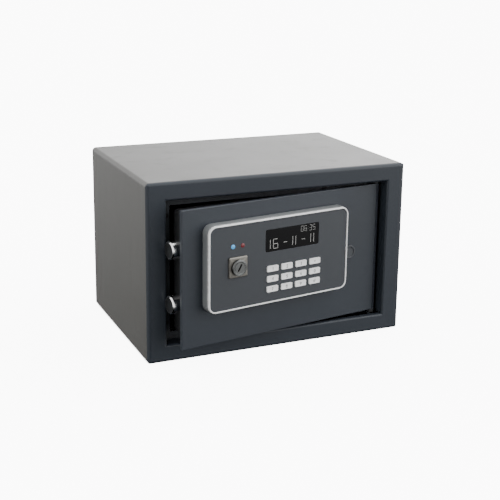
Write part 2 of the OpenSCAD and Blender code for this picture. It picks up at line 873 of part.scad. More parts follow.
module inner_cover() {
    mid_x = (cover_x0 + cover_x1) / 2;
    w = cover_x1 - cover_x0;
    h = cover_z1 - cover_z0;
    ear_z = lid_h / 2 + ear_gap;
    lid_rest = 2;
    bolt_fit = 0.6;
    color("#44474c") on_door() difference() {
        union() {
            difference() {
                plate_y(mid_x, mid_z, w, h, cover_r, leaf_back_y, cover_back_y);
                plate_y(mid_x, mid_z, w - 2 * cover_wall, h - 2 * cover_wall, cover_r - cover_wall,
                        leaf_back_y - OVER, cover_in_y);
            }
            for (z = [mid_z - ear_z - ear_t, mid_z + ear_z])
                box(lid_hinge_x - 2, lid_hinge_x + 3, cover_back_y - EPS, lid_hinge_y + 2.2, z, z + ear_t);
        }
        for (sz = [-1, 1])
            translate([cover_x0 - OVER, bolt_y, mid_z + sz * bolt_spacing / 2]) rotate([0, 90, 0])
                cylinder(r = bolt_r + bolt_fit, h = cover_wall + 2 * OVER);
        box(lid_x0 + lid_rest + 1, holder_x1, cover_in_y - OVER, cover_back_y + OVER,
            mid_z - lid_h / 2 + lid_rest, mid_z + lid_h / 2 - lid_rest);
        translate([lid_hinge_x, lid_hinge_y, mid_z - ear_z - ear_t - OVER])
            cylinder(r = lid_pin_r + RUN, h = 2 * (ear_z + ear_t + OVER));
        rod_y(reset_x, reset_z, reset_hole_r, cover_in_y - OVER, cover_back_y + OVER);
        cover_corners() rod_y(0, 0, cover_screw_hole_r, cover_in_y - OVER, cover_back_y + OVER);
    }
}

module cover_screws() {
    color("silver") on_door() cover_corners()
        screw_y(0, 0, head_r = 3.8, head_t = 2, shank_r = 1.9, shank_len = 13,
                head_y = cover_back_y, dir = -1);
}

module battery_holder() {
    z0 = mid_z - holder_h / 2;
    z1 = mid_z + holder_h / 2;
    color("#1e1f21") on_door() difference() {
        box(holder_x0, holder_x1, holder_y, cover_in_y, z0, z1);
        box(holder_x0 + holder_wall, holder_x1 - holder_wall, holder_y + holder_floor, cover_in_y + OVER,
            z0 + holder_wall, z1 - holder_wall);
    }
}

function cell_z(i) = mid_z + (i - (cells - 1) / 2) * cell_pitch;

// Places a piece of one cell: x is counted from the cell's spring end
module at_cell(i) {
    flip = i % 2;
    inner_x0 = holder_x0 + holder_wall;
    inner_x1 = holder_x1 - holder_wall;
    translate([flip ? inner_x1 : inner_x0, cell_y, cell_z(i)]) mirror([flip, 0, 0]) rotate([0, 90, 0])
        children();
}

module batteries() {
    color("#2f6f9c") on_door() for (i = [0:cells - 1]) at_cell(i)
        translate([0, 0, contact_span - contact_t - cell_len]) {
            cylinder(r = cell_r, h = cell_len - nub_len);
            cylinder(r = nub_r, h = cell_len);
        }
}

// A plate with stacked spring turns at one end of each cell, and a plate at the other
module battery_contacts() {
    turn_t = (contact_span - 2 * contact_t - cell_len) / spring_turns;
    color("silver") on_door() for (i = [0:cells - 1]) at_cell(i) {
        for (z = [0, contact_span - contact_t])
            translate([-contact_w / 2, -contact_w / 2, z]) cube([contact_w, contact_w, contact_t]);
        for (turn = [0:spring_turns - 1])
            translate([0, 0, contact_t + turn_t * (turn + 0.5) - EPS])
                rotate_extrude($fn = SMALL_FN) translate([spring_r, 0])
                    circle(r = (turn_t + EPS) / 2, $fn = 16);
    }
}

module battery_door() {
    z0 = mid_z - lid_h / 2;
    z1 = mid_z + lid_h / 2;
    color("#55585e") on_door() {
        box(lid_x0, lid_hinge_x, cover_back_y + lid_gap, lid_hinge_y, z0, z1);
        translate([lid_hinge_x, lid_hinge_y, z0]) cylinder(r = lid_knuckle_r, h = z1 - z0);
        translate([lid_hinge_x, lid_hinge_y, z0 - lid_pin_over])
            cylinder(r = lid_pin_r, h = z1 - z0 + 2 * lid_pin_over);
        box(latch_x, latch_x + latch_w, cover_in_y - 1, cover_back_y + 1,
            mid_z - latch_half_h, mid_z + latch_half_h);
    }
}

module reset_switch() {
    color("#27292c") on_door()
        box(reset_x - reset_half, reset_x + reset_half, leaf_back_y, cover_in_y - 5.7,
            reset_z - reset_half, reset_z + reset_half);
}

// Button with the collar that keeps it behind the cover
module reset_button() {
    collar_y = cover_in_y - 0.1 - reset_collar_t;
    color("#b03028") on_door() {
        rod_y(reset_x, reset_z, reset_r, collar_y, cover_back_y + reset_proud);
        rod_y(reset_x, reset_z, reset_collar_r, collar_y, collar_y + reset_collar_t);
        rod_y(reset_x, reset_z, reset_stem_r, cover_in_y - 4.6, collar_y + EPS);
    }
}

// ---- Nodes ----

body_wrap();
back_panel();
front_frame();
stop_frame();
buffer_pads();
hinge_lugs();
hinge_pins();
hinge_washers();
floor_mat();
door_leaf();
side_plug();
housing_shell();
trim_ring();
fascia();
display_window();
display_module();
circuit_board();
board_spacers();
board_screws();
key_mat();
status_lights();
lock_escutcheon();
lock_barrel();
lock_nut();
housing_screws();
bolt_guide();
bar_guide();
gear_motor();
cable_grommet();
wire_loom();
cover_posts();
inner_cover();
cover_screws();
battery_holder();
battery_contacts();
batteries();
reset_switch();
bolt(mid_z + bolt_spacing / 2);  // bolt_upper
bolt(mid_z - bolt_spacing / 2);  // bolt_lower
bolt_bar();
bolt_screws();
drive_gear();
drive_shaft();
lock_plug();
lock_cam();
battery_door();
reset_button();
key_cap(0, 0);  // key_1
key_cap(1, 0);  // key_2
key_cap(2, 0);  // key_3
key_cap(3, 0);  // key_star
key_cap(0, 1);  // key_4
key_cap(1, 1);  // key_5
key_cap(2, 1);  // key_6
key_cap(3, 1);  // key_0
key_cap(0, 2);  // key_7
key_cap(1, 2);  // key_8
key_cap(2, 2);  // key_9
key_cap(3, 2);  // key_hash
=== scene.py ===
"""Looks of an in-room safe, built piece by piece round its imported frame.

Door pieces are made as they lie with the door closed and are then turned to where the door stands.
All lengths are in metres.
"""

import json  # noqa: E402
import math  # noqa: E402

import bmesh  # noqa: E402
import bpy  # noqa: E402
from bpy.props import FloatProperty, FloatVectorProperty, PointerProperty  # noqa: E402
from mathutils import Matrix, Vector  # noqa: E402

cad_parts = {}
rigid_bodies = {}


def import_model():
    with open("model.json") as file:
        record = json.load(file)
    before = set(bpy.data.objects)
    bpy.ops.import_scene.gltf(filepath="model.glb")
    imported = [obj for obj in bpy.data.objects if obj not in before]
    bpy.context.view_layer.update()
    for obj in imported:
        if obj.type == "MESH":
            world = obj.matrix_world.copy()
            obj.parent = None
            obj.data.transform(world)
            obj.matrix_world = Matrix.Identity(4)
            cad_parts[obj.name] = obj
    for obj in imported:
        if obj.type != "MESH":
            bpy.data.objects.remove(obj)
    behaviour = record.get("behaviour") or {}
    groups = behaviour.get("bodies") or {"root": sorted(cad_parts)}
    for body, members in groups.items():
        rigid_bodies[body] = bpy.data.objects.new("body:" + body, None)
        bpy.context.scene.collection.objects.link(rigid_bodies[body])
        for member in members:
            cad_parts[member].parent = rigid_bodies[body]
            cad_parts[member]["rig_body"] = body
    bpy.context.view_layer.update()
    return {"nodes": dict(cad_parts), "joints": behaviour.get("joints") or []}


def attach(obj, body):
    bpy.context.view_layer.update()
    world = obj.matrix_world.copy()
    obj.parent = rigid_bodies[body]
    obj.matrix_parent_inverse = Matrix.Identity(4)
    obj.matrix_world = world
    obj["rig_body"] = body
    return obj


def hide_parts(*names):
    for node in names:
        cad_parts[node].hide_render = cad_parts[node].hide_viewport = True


bl_info = {
    "name": "In-room safe",
    "version": (1, 0, 0),
    "blender": (4, 5, 0),
    "location": "View3D > Sidebar > Safe",
    "description": "Builds the steel, keypad, lock, boltwork and stage of an in-room safe",
    "category": "Object",
}

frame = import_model()

HINGE = next(j for j in frame["joints"] if j["name"] == "door_hinge")
HINGE_POINT = Vector(HINGE["pos_m"])
DOOR_AJAR = math.radians(-HINGE["range_deg"][0])
DOOR_TURN = (
    Matrix.Translation(HINGE_POINT)
    @ Matrix.Rotation(DOOR_AJAR, 4, "Z")
    @ Matrix.Translation(-HINGE_POINT)
)
MM = 0.001
JOIN = 2e-6
SHARP = math.radians(28)
FLAT = math.radians(0.6)


# ---- Reading the frame ----


def body_of(node):
    return frame["nodes"][node]["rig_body"]


def slot_of(node):
    return frame["nodes"][node].data.materials[0].name.split(".")[0]


def lie_of(body):
    """Where a body's closed-door pieces stand in the row frame."""
    return Matrix.Identity(4) if body == "cabinet" else DOOR_TURN


def cad_bmesh(node):
    """A node's surface as it lies with the door closed, its split points joined."""
    bm = bmesh.new()
    bm.from_mesh(frame["nodes"][node].data)
    bm.transform(lie_of(body_of(node)).inverted())
    bmesh.ops.remove_doubles(bm, verts=bm.verts, dist=JOIN)
    return bm


def solids(node):
    """(lowest, highest) corner of each separate solid of a node, with the door closed."""
    bm = cad_bmesh(node)
    left, boxes = set(bm.verts), []
    while left:
        start = left.pop()
        found, edge = [start], [start]
        while edge:
            for e in edge.pop().link_edges:
                for v in e.verts:
                    if v in left:
                        left.remove(v)
                        found.append(v)
                        edge.append(v)
        lo = Vector([min(v.co[i] for v in found) for i in range(3)])
        hi = Vector([max(v.co[i] for v in found) for i in range(3)])
        boxes.append((lo, hi))
    bm.free()
    return sorted(boxes, key=lambda b: (round(b[0].z, 4), round(b[0].x, 4)))


def closed_box(node):
    boxes = solids(node)
    lo = Vector([min(b[0][i] for b in boxes) for i in range(3)])
    hi = Vector([max(b[1][i] for b in boxes) for i in range(3)])
    return lo, hi


def middle(box):
    return (box[0] + box[1]) / 2


# ---- Turning mesh code into pieces ----


def add_piece(name, bm, body, finish, nodes=(), flat=False):
    """Makes an object of bm, gives it its finish and sets it on its body."""
    bmesh.ops.recalc_face_normals(bm, faces=bm.faces)
    for face in bm.faces:
        face.smooth = not flat
    mesh = bpy.data.meshes.new(name)
    bm.to_mesh(mesh)
    bm.free()
    mesh.materials.append(finish)
    piece = bpy.data.objects.new(name, mesh)
    bpy.context.scene.collection.objects.link(piece)
    piece.matrix_world = lie_of(body)
    if not flat:
        shade = piece.modifiers.new("even_shading", "WEIGHTED_NORMAL")
        shade.weight = 100
        shade.keep_sharp = True
    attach(piece, body)
    if nodes:
        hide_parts(*nodes)
    return piece


def ease(bm, width, segments=3, sharp=SHARP):
    """Rounds every sharp edge and marks the faces that this makes as worn."""
    worn = bm.faces.layers.float.new("worn")
    edges = [e for e in bm.edges if len(e.link_faces) == 2 and e.calc_face_angle(0) > sharp]
    made = bmesh.ops.bevel(
        bm, geom=edges, offset=width, segments=segments, profile=0.5, affect="EDGES", clamp_overlap=False
    )
    for face in made["faces"]:
        face[worn] = 1.0
    return bm


def eased_node(node, width, segments=3, finish=None):
    """Stands for a node with its own shape, its sharp edges rounded as real ones are."""
    bm = cad_bmesh(node)
    bmesh.ops.dissolve_limit(bm, angle_limit=FLAT, verts=bm.verts, edges=bm.edges)
    ease(bm, width, segments)
    slot = slot_of(node)
    return add_piece(f"{node}_made", bm, body_of(node), finish or FINISHES[slot](), [node])


def ring_outline(w, h, r, steps=8):
    """Points of a rounded rectangle, counter-clockwise as seen from the front."""
    points = []
    for cx, cz, start in ((1, 1, 0), (-1, 1, 90), (-1, -1, 180), (1, -1, 270)):
        for i in range(steps + 1):
            a = math.radians(start + 90 * i / steps)
            points.append((cx * (w / 2 - r) + r * math.cos(a), cz * (h / 2 - r) + r * math.sin(a)))
    return points


def circle_outline(r, steps=64):
    return [(r * math.cos(math.tau * i / steps), r * math.sin(math.tau * i / steps)) for i in range(steps)]


def loft(bm, outlines, centre, caps=(True, True), along="Y"):
    """Skins a run of (outline, depth) rings; depth is measured from centre along an axis."""
    rings = []
    for outline, depth in outlines:
        ring = []
        for u, v in outline:
            offset = Vector((u, depth, v)) if along == "Y" else Vector((depth, u, v))
            ring.append(bm.verts.new(centre + offset))
        rings.append(ring)
    n = len(rings[0])
    for a, b in zip(rings, rings[1:]):
        for i in range(n):
            bm.faces.new((a[i], a[(i + 1) % n], b[(i + 1) % n], b[i]))
    if caps[0]:
        bm.faces.new(rings[0])
    if caps[1]:
        bm.faces.new(rings[-1])
    return rings


def turned(bm, profile, centre, along="Y", steps=72):
    """Skins a lathe profile of (radius, depth) points; a radius of zero closes an end."""
    rings = []
    for radius, depth in profile:
        if radius < 1e-7:
            offset = Vector((0, depth, 0)) if along == "Y" else Vector((depth, 0, 0))
            rings.append([bm.verts.new(centre + offset)])
            continue
        ring = []
        for u, v in circle_outline(radius, steps):
            offset = Vector((u, depth, v)) if along == "Y" else Vector((depth, u, v))
            ring.append(bm.verts.new(centre + offset))
        rings.append(ring)
    for a, b in zip(rings, rings[1:]):
        if len(a) == 1 and len(b) == 1:
            continue
        for i in range(steps):
            j = (i + 1) % steps
            if len(a) == 1:
                bm.faces.new((a[0], b[j], b[i]))
            elif len(b) == 1:
                bm.faces.new((a[i], a[j], b[0]))
            else:
                bm.faces.new((a[i], a[j], b[j], b[i]))


def rounded(profile, width=0.25 * MM, steps=3):
    """The same lathe profile with its inner corners cut to short arcs."""
    out = [profile[0]]
    for before, at, after in zip(profile, profile[1:], profile[2:]):
        p, q, s = (Vector(x) for x in (before, at, after))
        reach = min(width, 0.45 * (q - p).length, 0.45 * (s - q).length)
        start, end = q + (p - q).normalized() * reach, q + (s - q).normalized() * reach
        for i in range(steps + 1):
            t = i / steps
            point = start * (1 - t) ** 2 + q * 2 * t * (1 - t) + end * t**2
            out.append((point.x, point.y))
    out.append(profile[-1])
    return out


def prism(bm, outline, centre, y0, y1):
    """A flat shape in the front plane with a thickness; depths are from centre."""
    return loft(bm, [(outline, y0), (outline, y1)], centre)


def cut_with(piece, cutter_bm):
    """Takes a closed shape out of a piece, given as the piece lies with the door closed."""
    bmesh.ops.recalc_face_normals(cutter_bm, faces=cutter_bm.faces)
    mesh = bpy.data.meshes.new("cutter")
    cutter_bm.to_mesh(mesh)
    cutter_bm.free()
    cutter = bpy.data.objects.new("cutter", mesh)
    bpy.context.scene.collection.objects.link(cutter)
    cutter.matrix_world = piece.matrix_world
    cut = piece.modifiers.new("cut", "BOOLEAN")
    cut.operation, cut.solver, cut.object = "DIFFERENCE", "EXACT", cutter
    bpy.context.view_layer.update()
    made = bpy.data.meshes.new_from_object(piece.evaluated_get(bpy.context.evaluated_depsgraph_get()))
    piece.modifiers.clear()
    piece.data = made
    for face in made.polygons:
        face.use_smooth = True
    made.set_sharp_from_angle(angle=SHARP)
    bpy.data.objects.remove(cutter)
    return piece


def lay_tube(name, points, radius, body, finish, nodes=(), smooth=True):
    """A bent round bar along closed-door points."""
    curve = bpy.data.curves.new(name, "CURVE")
    curve.dimensions = "3D"
    curve.bevel_depth, curve.bevel_resolution, curve.use_fill_caps = radius, 4, True
    line = curve.splines.new("POLY")
    line.points.add(len(points) - 1)
    for point, at in zip(line.points, points):
        point.co = (*at, 1)
    line.use_smooth = smooth
    tube = bpy.data.objects.new(name, curve)
    bpy.context.scene.collection.objects.link(tube)
    bpy.context.view_layer.update()
    mesh = bpy.data.meshes.new_from_object(tube.evaluated_get(bpy.context.evaluated_depsgraph_get()))
    bpy.data.objects.remove(tube)
    bm = bmesh.new()
    bm.from_mesh(mesh)
    return add_piece(name, bm, body, finish, nodes)


# ---- Finishes ----


class Wire:
    """A shader socket that can stand in a sum, so that masks read as arithmetic."""

    def __init__(self, finish, socket):
        self.finish = finish
        self.socket = socket

    def _sum(self, operation, *terms):
        return self.finish.node("ShaderNodeMath", {"operation": operation}, dict(enumerate(terms)))

    def __add__(self, other):
        return self._sum("ADD", self, other)

    __radd__ = __add__

    def __sub__(self, other):
        return self._sum("SUBTRACT", self, other)

    def __rsub__(self, other):
        return self._sum("SUBTRACT", other, self)

    def __mul__(self, other):
        return self._sum("MULTIPLY", self, other)

    __rmul__ = __mul__

    def __pow__(self, other):
        return self._sum("POWER", self, other)

    def __gt__(self, other):
        return self._sum("GREATER_THAN", self, other)

    def sine(self):
        return self._sum("SINE", self)

    def fraction(self):
        return self._sum("FRACT", self)

    def size(self):
        return self._sum("ABSOLUTE", self)

    def between(self, low, high):
        """0 at low, 1 at high and a smooth climb from one to the other."""
        settings = {"interpolation_type": "SMOOTHSTEP"}
        return self.finish.node("ShaderNodeMapRange", settings, {"Value": self, 1: low, 2: high})


class Finish:
    """One material's nodes: a shader with its output, and the patterns that feed it."""

    made = {}

    def __init__(self, name, **constants):
        self.material = bpy.data.materials.new(name)
        self.material.use_nodes = True
        self.tree = self.material.node_tree
        self.tree.nodes.clear()
        self.shader = self.tree.nodes.new("ShaderNodeBsdfPrincipled")
        output = self.tree.nodes.new("ShaderNodeOutputMaterial")
        self.tree.links.new(self.shader.outputs[0], output.inputs["Surface"])
        for socket, value in constants.items():
            self.shader.inputs[socket.replace("_", " ")].default_value = value

    def node(self, kind, settings=None, sockets=None, out=0):
        """Adds a node, sets its settings, then feeds its sockets with values or wires."""
        node = self.tree.nodes.new(kind)
        for key, value in (settings or {}).items():
            setattr(node, key, value)
        for key, value in (sockets or {}).items():
            self.feed(node.inputs[key], value)
        return Wire(self, node.outputs[out])

    def feed(self, socket, value):
        if isinstance(value, Wire):
            self.tree.links.new(value.socket, socket)
        elif hasattr(value, "__len__") and socket.type == "RGBA":
            socket.default_value = (*value[:3], 1)
        else:
            socket.default_value = value

    def where(self, stretch=(1, 1, 1), shift=(0, 0, 0)):
        """The point on the piece, in metres, stretched along its axes."""
        place = self.node("ShaderNodeTexCoord", out=3)
        sockets = {"Vector": place, "Scale": stretch, "Location": shift}
        return self.node("ShaderNodeMapping", {}, sockets)

    def axes(self, **how):
        """The three coordinates of the point as separate wires."""
        split = self.node("ShaderNodeSeparateXYZ", {}, {0: self.where(**how)})
        node = split.socket.node
        return [Wire(self, node.outputs[i]) for i in range(3)]

    def noise(self, scale, detail=3.0, rough=0.55, stretch=(1, 1, 1), twist=0.0):
        sockets = {
            "Vector": self.where(stretch),
            "Scale": scale,
            "Detail": detail,
            "Roughness": rough,
            "Distortion": twist,
        }
        return self.node("ShaderNodeTexNoise", {}, sockets)

    def cells(self, scale, stretch=(1, 1, 1), feature="F1"):
        sockets = {"Vector": self.where(stretch), "Scale": scale}
        return self.node("ShaderNodeTexVoronoi", {"feature": feature}, sockets)

    def mix(self, factor, first, second, how="MIX"):
        """first where factor is 0 and second where it is 1, both colours."""
        settings = {"data_type": "RGBA", "blend_type": how, "clamp_factor": True}
        return self.node("ShaderNodeMix", settings, {0: factor, 6: first, 7: second}, out=2)

    def worn(self):
        """1 on the rounded edges that ease() makes."""
        return self.node("ShaderNodeAttribute", {"attribute_name": "worn"}, out=2)

    def bump(self, height, depth, strength=1.0, under=None):
        sockets = {"Height": height, "Distance": depth, "Strength": strength}
        if under is not None:
            sockets["Normal"] = under
        return self.node("ShaderNodeBump", {}, sockets)

    def paint(self, **sockets):
        """Feeds the shader's own sockets."""
        for name, value in sockets.items():
            self.feed(self.shader.inputs[name.replace("_", " ")], value)
        return self.material


def once(name, build):
    """The finish of that name, built the first time it is asked for."""
    if name not in Finish.made:
        Finish.made[name] = build(name)
    return Finish.made[name]


def shade(colour, factor):
    return tuple(min(1.0, c * factor) for c in colour[:3])


def powder_coat(name, colour, grain, gloss=0.42, level=0.5, scuff=1.35):
    """Baked powder paint: orange peel, fine speckle, soft handling marks and paler edges."""
    f = Finish(name, Specular_IOR_Level=level)
    peel = f.noise(grain, 4.0, 0.6)
    fleck = f.noise(grain * 3.1, 2.0, 0.7)
    cloud = f.noise(14.0, 3.0, 0.5)
    rubs = f.noise(42.0, 5.0, 0.6, (1.0, 1.0, 0.35), 0.4).between(0.52, 0.78)
    tone = f.mix(cloud, shade(colour, 0.93), shade(colour, 1.06))
    tone = f.mix(fleck.between(0.45, 0.75) * 0.35, tone, shade(colour, 1.22))
    tone = f.mix(rubs * 0.16, tone, shade(colour, 1.3))
    edge = f.worn() * f.noise(230.0, 4.0, 0.65).between(0.42, 0.66)
    tone = f.mix(edge * 0.5, tone, shade(colour, scuff))
    return f.paint(
        Base_Color=tone,
        Roughness=gloss + (cloud - 0.5) * 0.1 + rubs * 0.07 - edge * 0.06,
        Normal=f.bump(fleck, 0.00006, 0.35, f.bump(peel, 0.00022, 0.4)),
    )


def moulded(name, colour, roughness=0.45, grain=1900.0, depth=0.00005, level=0.5):
    """Injection-moulded plastic with a fine spark grain, flow clouds and polished edges."""
    f = Finish(name, Specular_IOR_Level=level)
    spark = f.cells(grain)
    flow = f.noise(22.0, 3.0, 0.5, (1.0, 1.0, 2.2), 0.8)
    touch = f.noise(70.0, 4.0, 0.6).between(0.5, 0.75)
    tone = f.mix(flow, shade(colour, 0.94), shade(colour, 1.05))
    tone = f.mix(f.worn() * 0.35, tone, shade(colour, 1.3))
    return f.paint(
        Base_Color=tone,
        Roughness=roughness + (flow - 0.5) * 0.08 - touch * 0.08 - f.worn() * 0.08,
        Normal=f.bump(spark, depth, 0.5),
    )


def brushed(name, colour, along="X", roughness=0.3, lines=900.0, metallic=1.0, depth=0.00003):
    """Metal drawn through a brush: long fine scratches in one direction."""
    stretch = {"X": (0.02, 1, 1), "Y": (1, 0.02, 1), "Z": (1, 1, 0.02)}[along]
    f = Finish(name, Metallic=metallic)
    hair = f.noise(lines, 5.0, 0.7, stretch)
    band = f.noise(lines / 9, 3.0, 0.6, stretch)
    cloud = f.noise(45.0, 3.0, 0.6)
    tone = f.mix(hair, shade(colour, 0.8), shade(colour, 1.12))
    tone = f.mix(cloud * 0.3, tone, shade(colour, 0.84))
    tone = f.mix(f.worn() * 0.4, tone, shade(colour, 1.25))
    return f.paint(
        Base_Color=tone,
        Roughness=roughness + (hair - 0.5) * 0.22 + (band - 0.5) * 0.12,
        Normal=f.bump(hair, depth, 0.6),
    )


def lathe_marks(name, colour, centre, along="Y", roughness=0.3, pitch=0.00035, metallic=1.0):
    """Metal turned on a lathe: fine rings round its axis."""
    f = Finish(name, Metallic=metallic)
    shift = tuple(-c for c in centre)
    x, y, z = f.axes(shift=shift)
    u, v = (x, z) if along == "Y" else (y, z)
    radius = (u * u + v * v) ** 0.5
    rings = (radius * (math.tau / pitch)).sine() * 0.5 + 0.5
    drift = f.noise(160.0, 4.0, 0.6)
    tone = f.mix(rings * drift, shade(colour, 1.08), shade(colour, 0.72))
    tone = f.mix(f.noise(60.0, 4.0, 0.6).between(0.5, 0.8) * 0.3, tone, shade(colour, 0.6))
    return f.paint(
        Base_Color=tone,
        Roughness=roughness + (rings - 0.5) * 0.1 + (drift - 0.5) * 0.14,
        Normal=f.bump(rings * 0.6 + drift * 0.4, 0.00002, 0.5),
    )


def cast_steel(name, colour, roughness=0.4, metallic=1.0, spots=0.25):
    """Plated or bare steel with a faint crystal bloom and handling stains."""
    f = Finish(name, Metallic=metallic)
    bloom = f.cells(420.0)
    stain = f.noise(85.0, 5.0, 0.65, twist=0.6)
    fine = f.noise(2600.0, 2.0, 0.6)
    tone = f.mix(bloom, shade(colour, 0.9), shade(colour, 1.1))
    tone = f.mix(stain.between(0.5, 0.8) * spots, tone, shade(colour, 0.55))
    tone = f.mix(f.worn() * 0.4, tone, shade(colour, 1.25))
    return f.paint(
        Base_Color=tone,
        Roughness=roughness + (stain - 0.5) * 0.2 + (fine - 0.5) * 0.1,
        Normal=f.bump(fine, 0.00002, 0.4),
    )


def chrome(name):
    """Bright plated steel with hairline polish marks and faint water spots."""
    f = Finish(name, Metallic=1.0)
    hair = f.noise(700.0, 4.0, 0.7, (0.03, 1, 1))
    spot = f.cells(240.0).between(0.0, 0.16)
    tone = f.mix(hair, (0.84, 0.84, 0.84), (0.93, 0.93, 0.92))
    tone = f.mix((1 - spot) * 0.25, tone, (0.45, 0.45, 0.46))
    return f.paint(
        Base_Color=tone,
        Roughness=0.13 + hair * 0.1 + (1 - spot) * 0.12,
        Normal=f.bump(hair, 0.00001, 0.3),
    )


def soft_rubber(name, colour):
    f = Finish(name, Specular_IOR_Level=0.35)
    dust = f.noise(900.0, 4.0, 0.7)
    bloom = f.noise(120.0, 3.0, 0.5)
    tone = f.mix(bloom.between(0.4, 0.75) * 0.5, colour, shade(colour, 2.2))
    return f.paint(
        Base_Color=f.mix(dust.between(0.6, 0.8) * 0.3, tone, shade(colour, 3.0)),
        Roughness=0.72 + (bloom - 0.5) * 0.15,
        Normal=f.bump(dust, 0.00008, 0.6),
    )


def needle_felt(name, colour):
    """Pressed felt: crossing fibres over soft lumps."""
    f = Finish(name, Specular_IOR_Level=0.15, Sheen_Weight=0.35, Sheen_Roughness=0.6)
    fibre = f.noise(1500.0, 4.0, 0.7, (0.25, 1, 1), 1.6)
    cross = f.noise(1300.0, 4.0, 0.7, (1, 0.2, 1), 1.6)
    lump = f.noise(130.0, 4.0, 0.6)
    tone = f.mix(fibre, shade(colour, 0.6), shade(colour, 1.6))
    tone = f.mix(cross.between(0.5, 0.75) * 0.5, tone, shade(colour, 2.1))
    tone = f.mix(lump.between(0.45, 0.7) * 0.4, tone, shade(colour, 0.75))
    return f.paint(
        Base_Color=tone,
        Roughness=0.93 + (lump - 0.5) * 0.08,
        Normal=f.bump(fibre + cross, 0.0003, 0.8, f.bump(lump, 0.0005, 0.5)),
    )


def board_green(name):
    """Solder mask over copper runs, with its pads and glass weave."""
    f = Finish(name, Specular_IOR_Level=0.5)
    x, _, z = f.axes()
    lanes = ((x * 620.0).fraction() - 0.5).size().between(0.1, 0.17)
    rows = ((z * 540.0).fraction() - 0.5).size().between(0.1, 0.17)
    patch = f.noise(95.0, 1.0, 0.3).between(0.48, 0.52)
    runs = patch * (1 - lanes) + (1 - patch) * (1 - rows)
    pads = 1 - f.cells(330.0).between(0.18, 0.24)
    weave = f.noise(2400.0, 2.0, 0.5)
    tone = f.mix(runs, (0.008, 0.07, 0.03), (0.02, 0.15, 0.06))
    tone = f.mix(pads, tone, (0.62, 0.5, 0.22))
    return f.paint(
        Base_Color=f.mix(weave * 0.2, tone, (0.01, 0.05, 0.03)),
        Metallic=pads * 0.9,
        Roughness=0.32 + runs * 0.08 + weave * 0.08,
        Normal=f.bump(runs + pads, 0.00004, 0.6),
    )


def silicone(name, colour):
    f = Finish(name, Subsurface_Weight=0.15, Subsurface_Radius=(0.002, 0.002, 0.002))
    bloom = f.noise(60.0, 3.0, 0.5)
    skin = f.noise(1600.0, 3.0, 0.6)
    return f.paint(
        Base_Color=f.mix(bloom, shade(colour, 0.9), shade(colour, 1.08)),
        Roughness=0.55 + (bloom - 0.5) * 0.12,
        Normal=f.bump(skin, 0.00004, 0.4),
    )


def glossy_window(name, colour):
    """Dark polished acrylic with fine wiping hairlines and a little dust."""
    f = Finish(name, Specular_IOR_Level=0.14)
    wipe = f.noise(300.0, 5.0, 0.7, (0.08, 1, 1), 0.3)
    dust = f.noise(2100.0, 2.0, 0.6).between(0.7, 0.78)
    tone = f.mix(wipe, shade(colour, 0.8), shade(colour, 1.3))
    return f.paint(
        Base_Color=f.mix(dust * 0.4, tone, (0.06, 0.06, 0.065)),
        Roughness=0.16 + wipe * 0.08 + dust * 0.2,
    )


def lit_stroke(name, colour, power):
    """Electronic ink of the display: evenly lit, a little softer towards its grain."""
    f = Finish(name, Emission_Strength=power)
    grain = f.noise(1800.0, 2.0, 0.5)
    return f.paint(
        Base_Color=f.mix(grain, shade(colour, 0.5), shade(colour, 0.6)),
        Emission_Color=f.mix(grain, shade(colour, 0.75), colour),
        Roughness=0.4 + grain * 0.1,
    )


def light_lens(name, colour, power):
    """Coloured lens, faceted inside, with a soft glow from its middle."""
    f = Finish(name, Emission_Strength=power, Coat_Weight=0.0, Specular_IOR_Level=0.6)
    facets = f.cells(1500.0)
    core = f.noise(500.0, 2.0, 0.5)
    return f.paint(
        Base_Color=f.mix(facets, shade(colour, 0.7), shade(colour, 1.25)),
        Emission_Color=f.mix(core, shade(colour, 0.7), colour),
        Roughness=0.14 + facets * 0.2,
        Normal=f.bump(facets, 0.00005, 0.4),
    )


def ink(name, colour):
    """Screen-printed legend ink with thin spots."""
    f = Finish(name, Specular_IOR_Level=0.3)
    thin = f.noise(2600.0, 3.0, 0.6)
    return f.paint(
        Base_Color=f.mix(thin.between(0.55, 0.8) * 0.4, colour, shade(colour, 2.0)),
        Roughness=0.5 + thin * 0.15,
        Normal=f.bump(thin, 0.00001, 0.3),
    )


def braided(name, colour):
    """Woven sleeve round the leads: two crossing strands."""
    f = Finish(name, Specular_IOR_Level=0.3)
    x, y, z = f.axes()
    one = ((x + z + y) * 5200.0).sine() * 0.5 + 0.5
    two = ((x - z + y) * 5200.0).sine() * 0.5 + 0.5
    weave = one * (1 - two) + two * (1 - one)
    fuzz = f.noise(2000.0, 3.0, 0.6)
    return f.paint(
        Base_Color=f.mix(weave, shade(colour, 0.7), shade(colour, 1.8)),
        Roughness=0.6 + fuzz * 0.2,
        Normal=f.bump(weave + fuzz * 0.3, 0.00015, 0.7),
    )


def cell_label(name, x_split, near, far):
    """Printed battery wrap: a dark band, a metal-coloured band and fine printing grain."""
    f = Finish(name, Specular_IOR_Level=0.5)
    x, _, z = f.axes()
    band = (x > x_split)
    print_grain = f.noise(1800.0, 3.0, 0.6)
    stripe = ((z * 900.0).fraction() - 0.5).size().between(0.3, 0.36) * 0.12
    tone = f.mix(band, near, far)
    tone = f.mix(print_grain.between(0.5, 0.8) * 0.2 + stripe, tone, (0.5, 0.5, 0.5))
    return f.paint(
        Base_Color=tone,
        Metallic=band * 0.55,
        Roughness=0.3 + print_grain * 0.12,
        Normal=f.bump(print_grain, 0.00001, 0.3),
    )


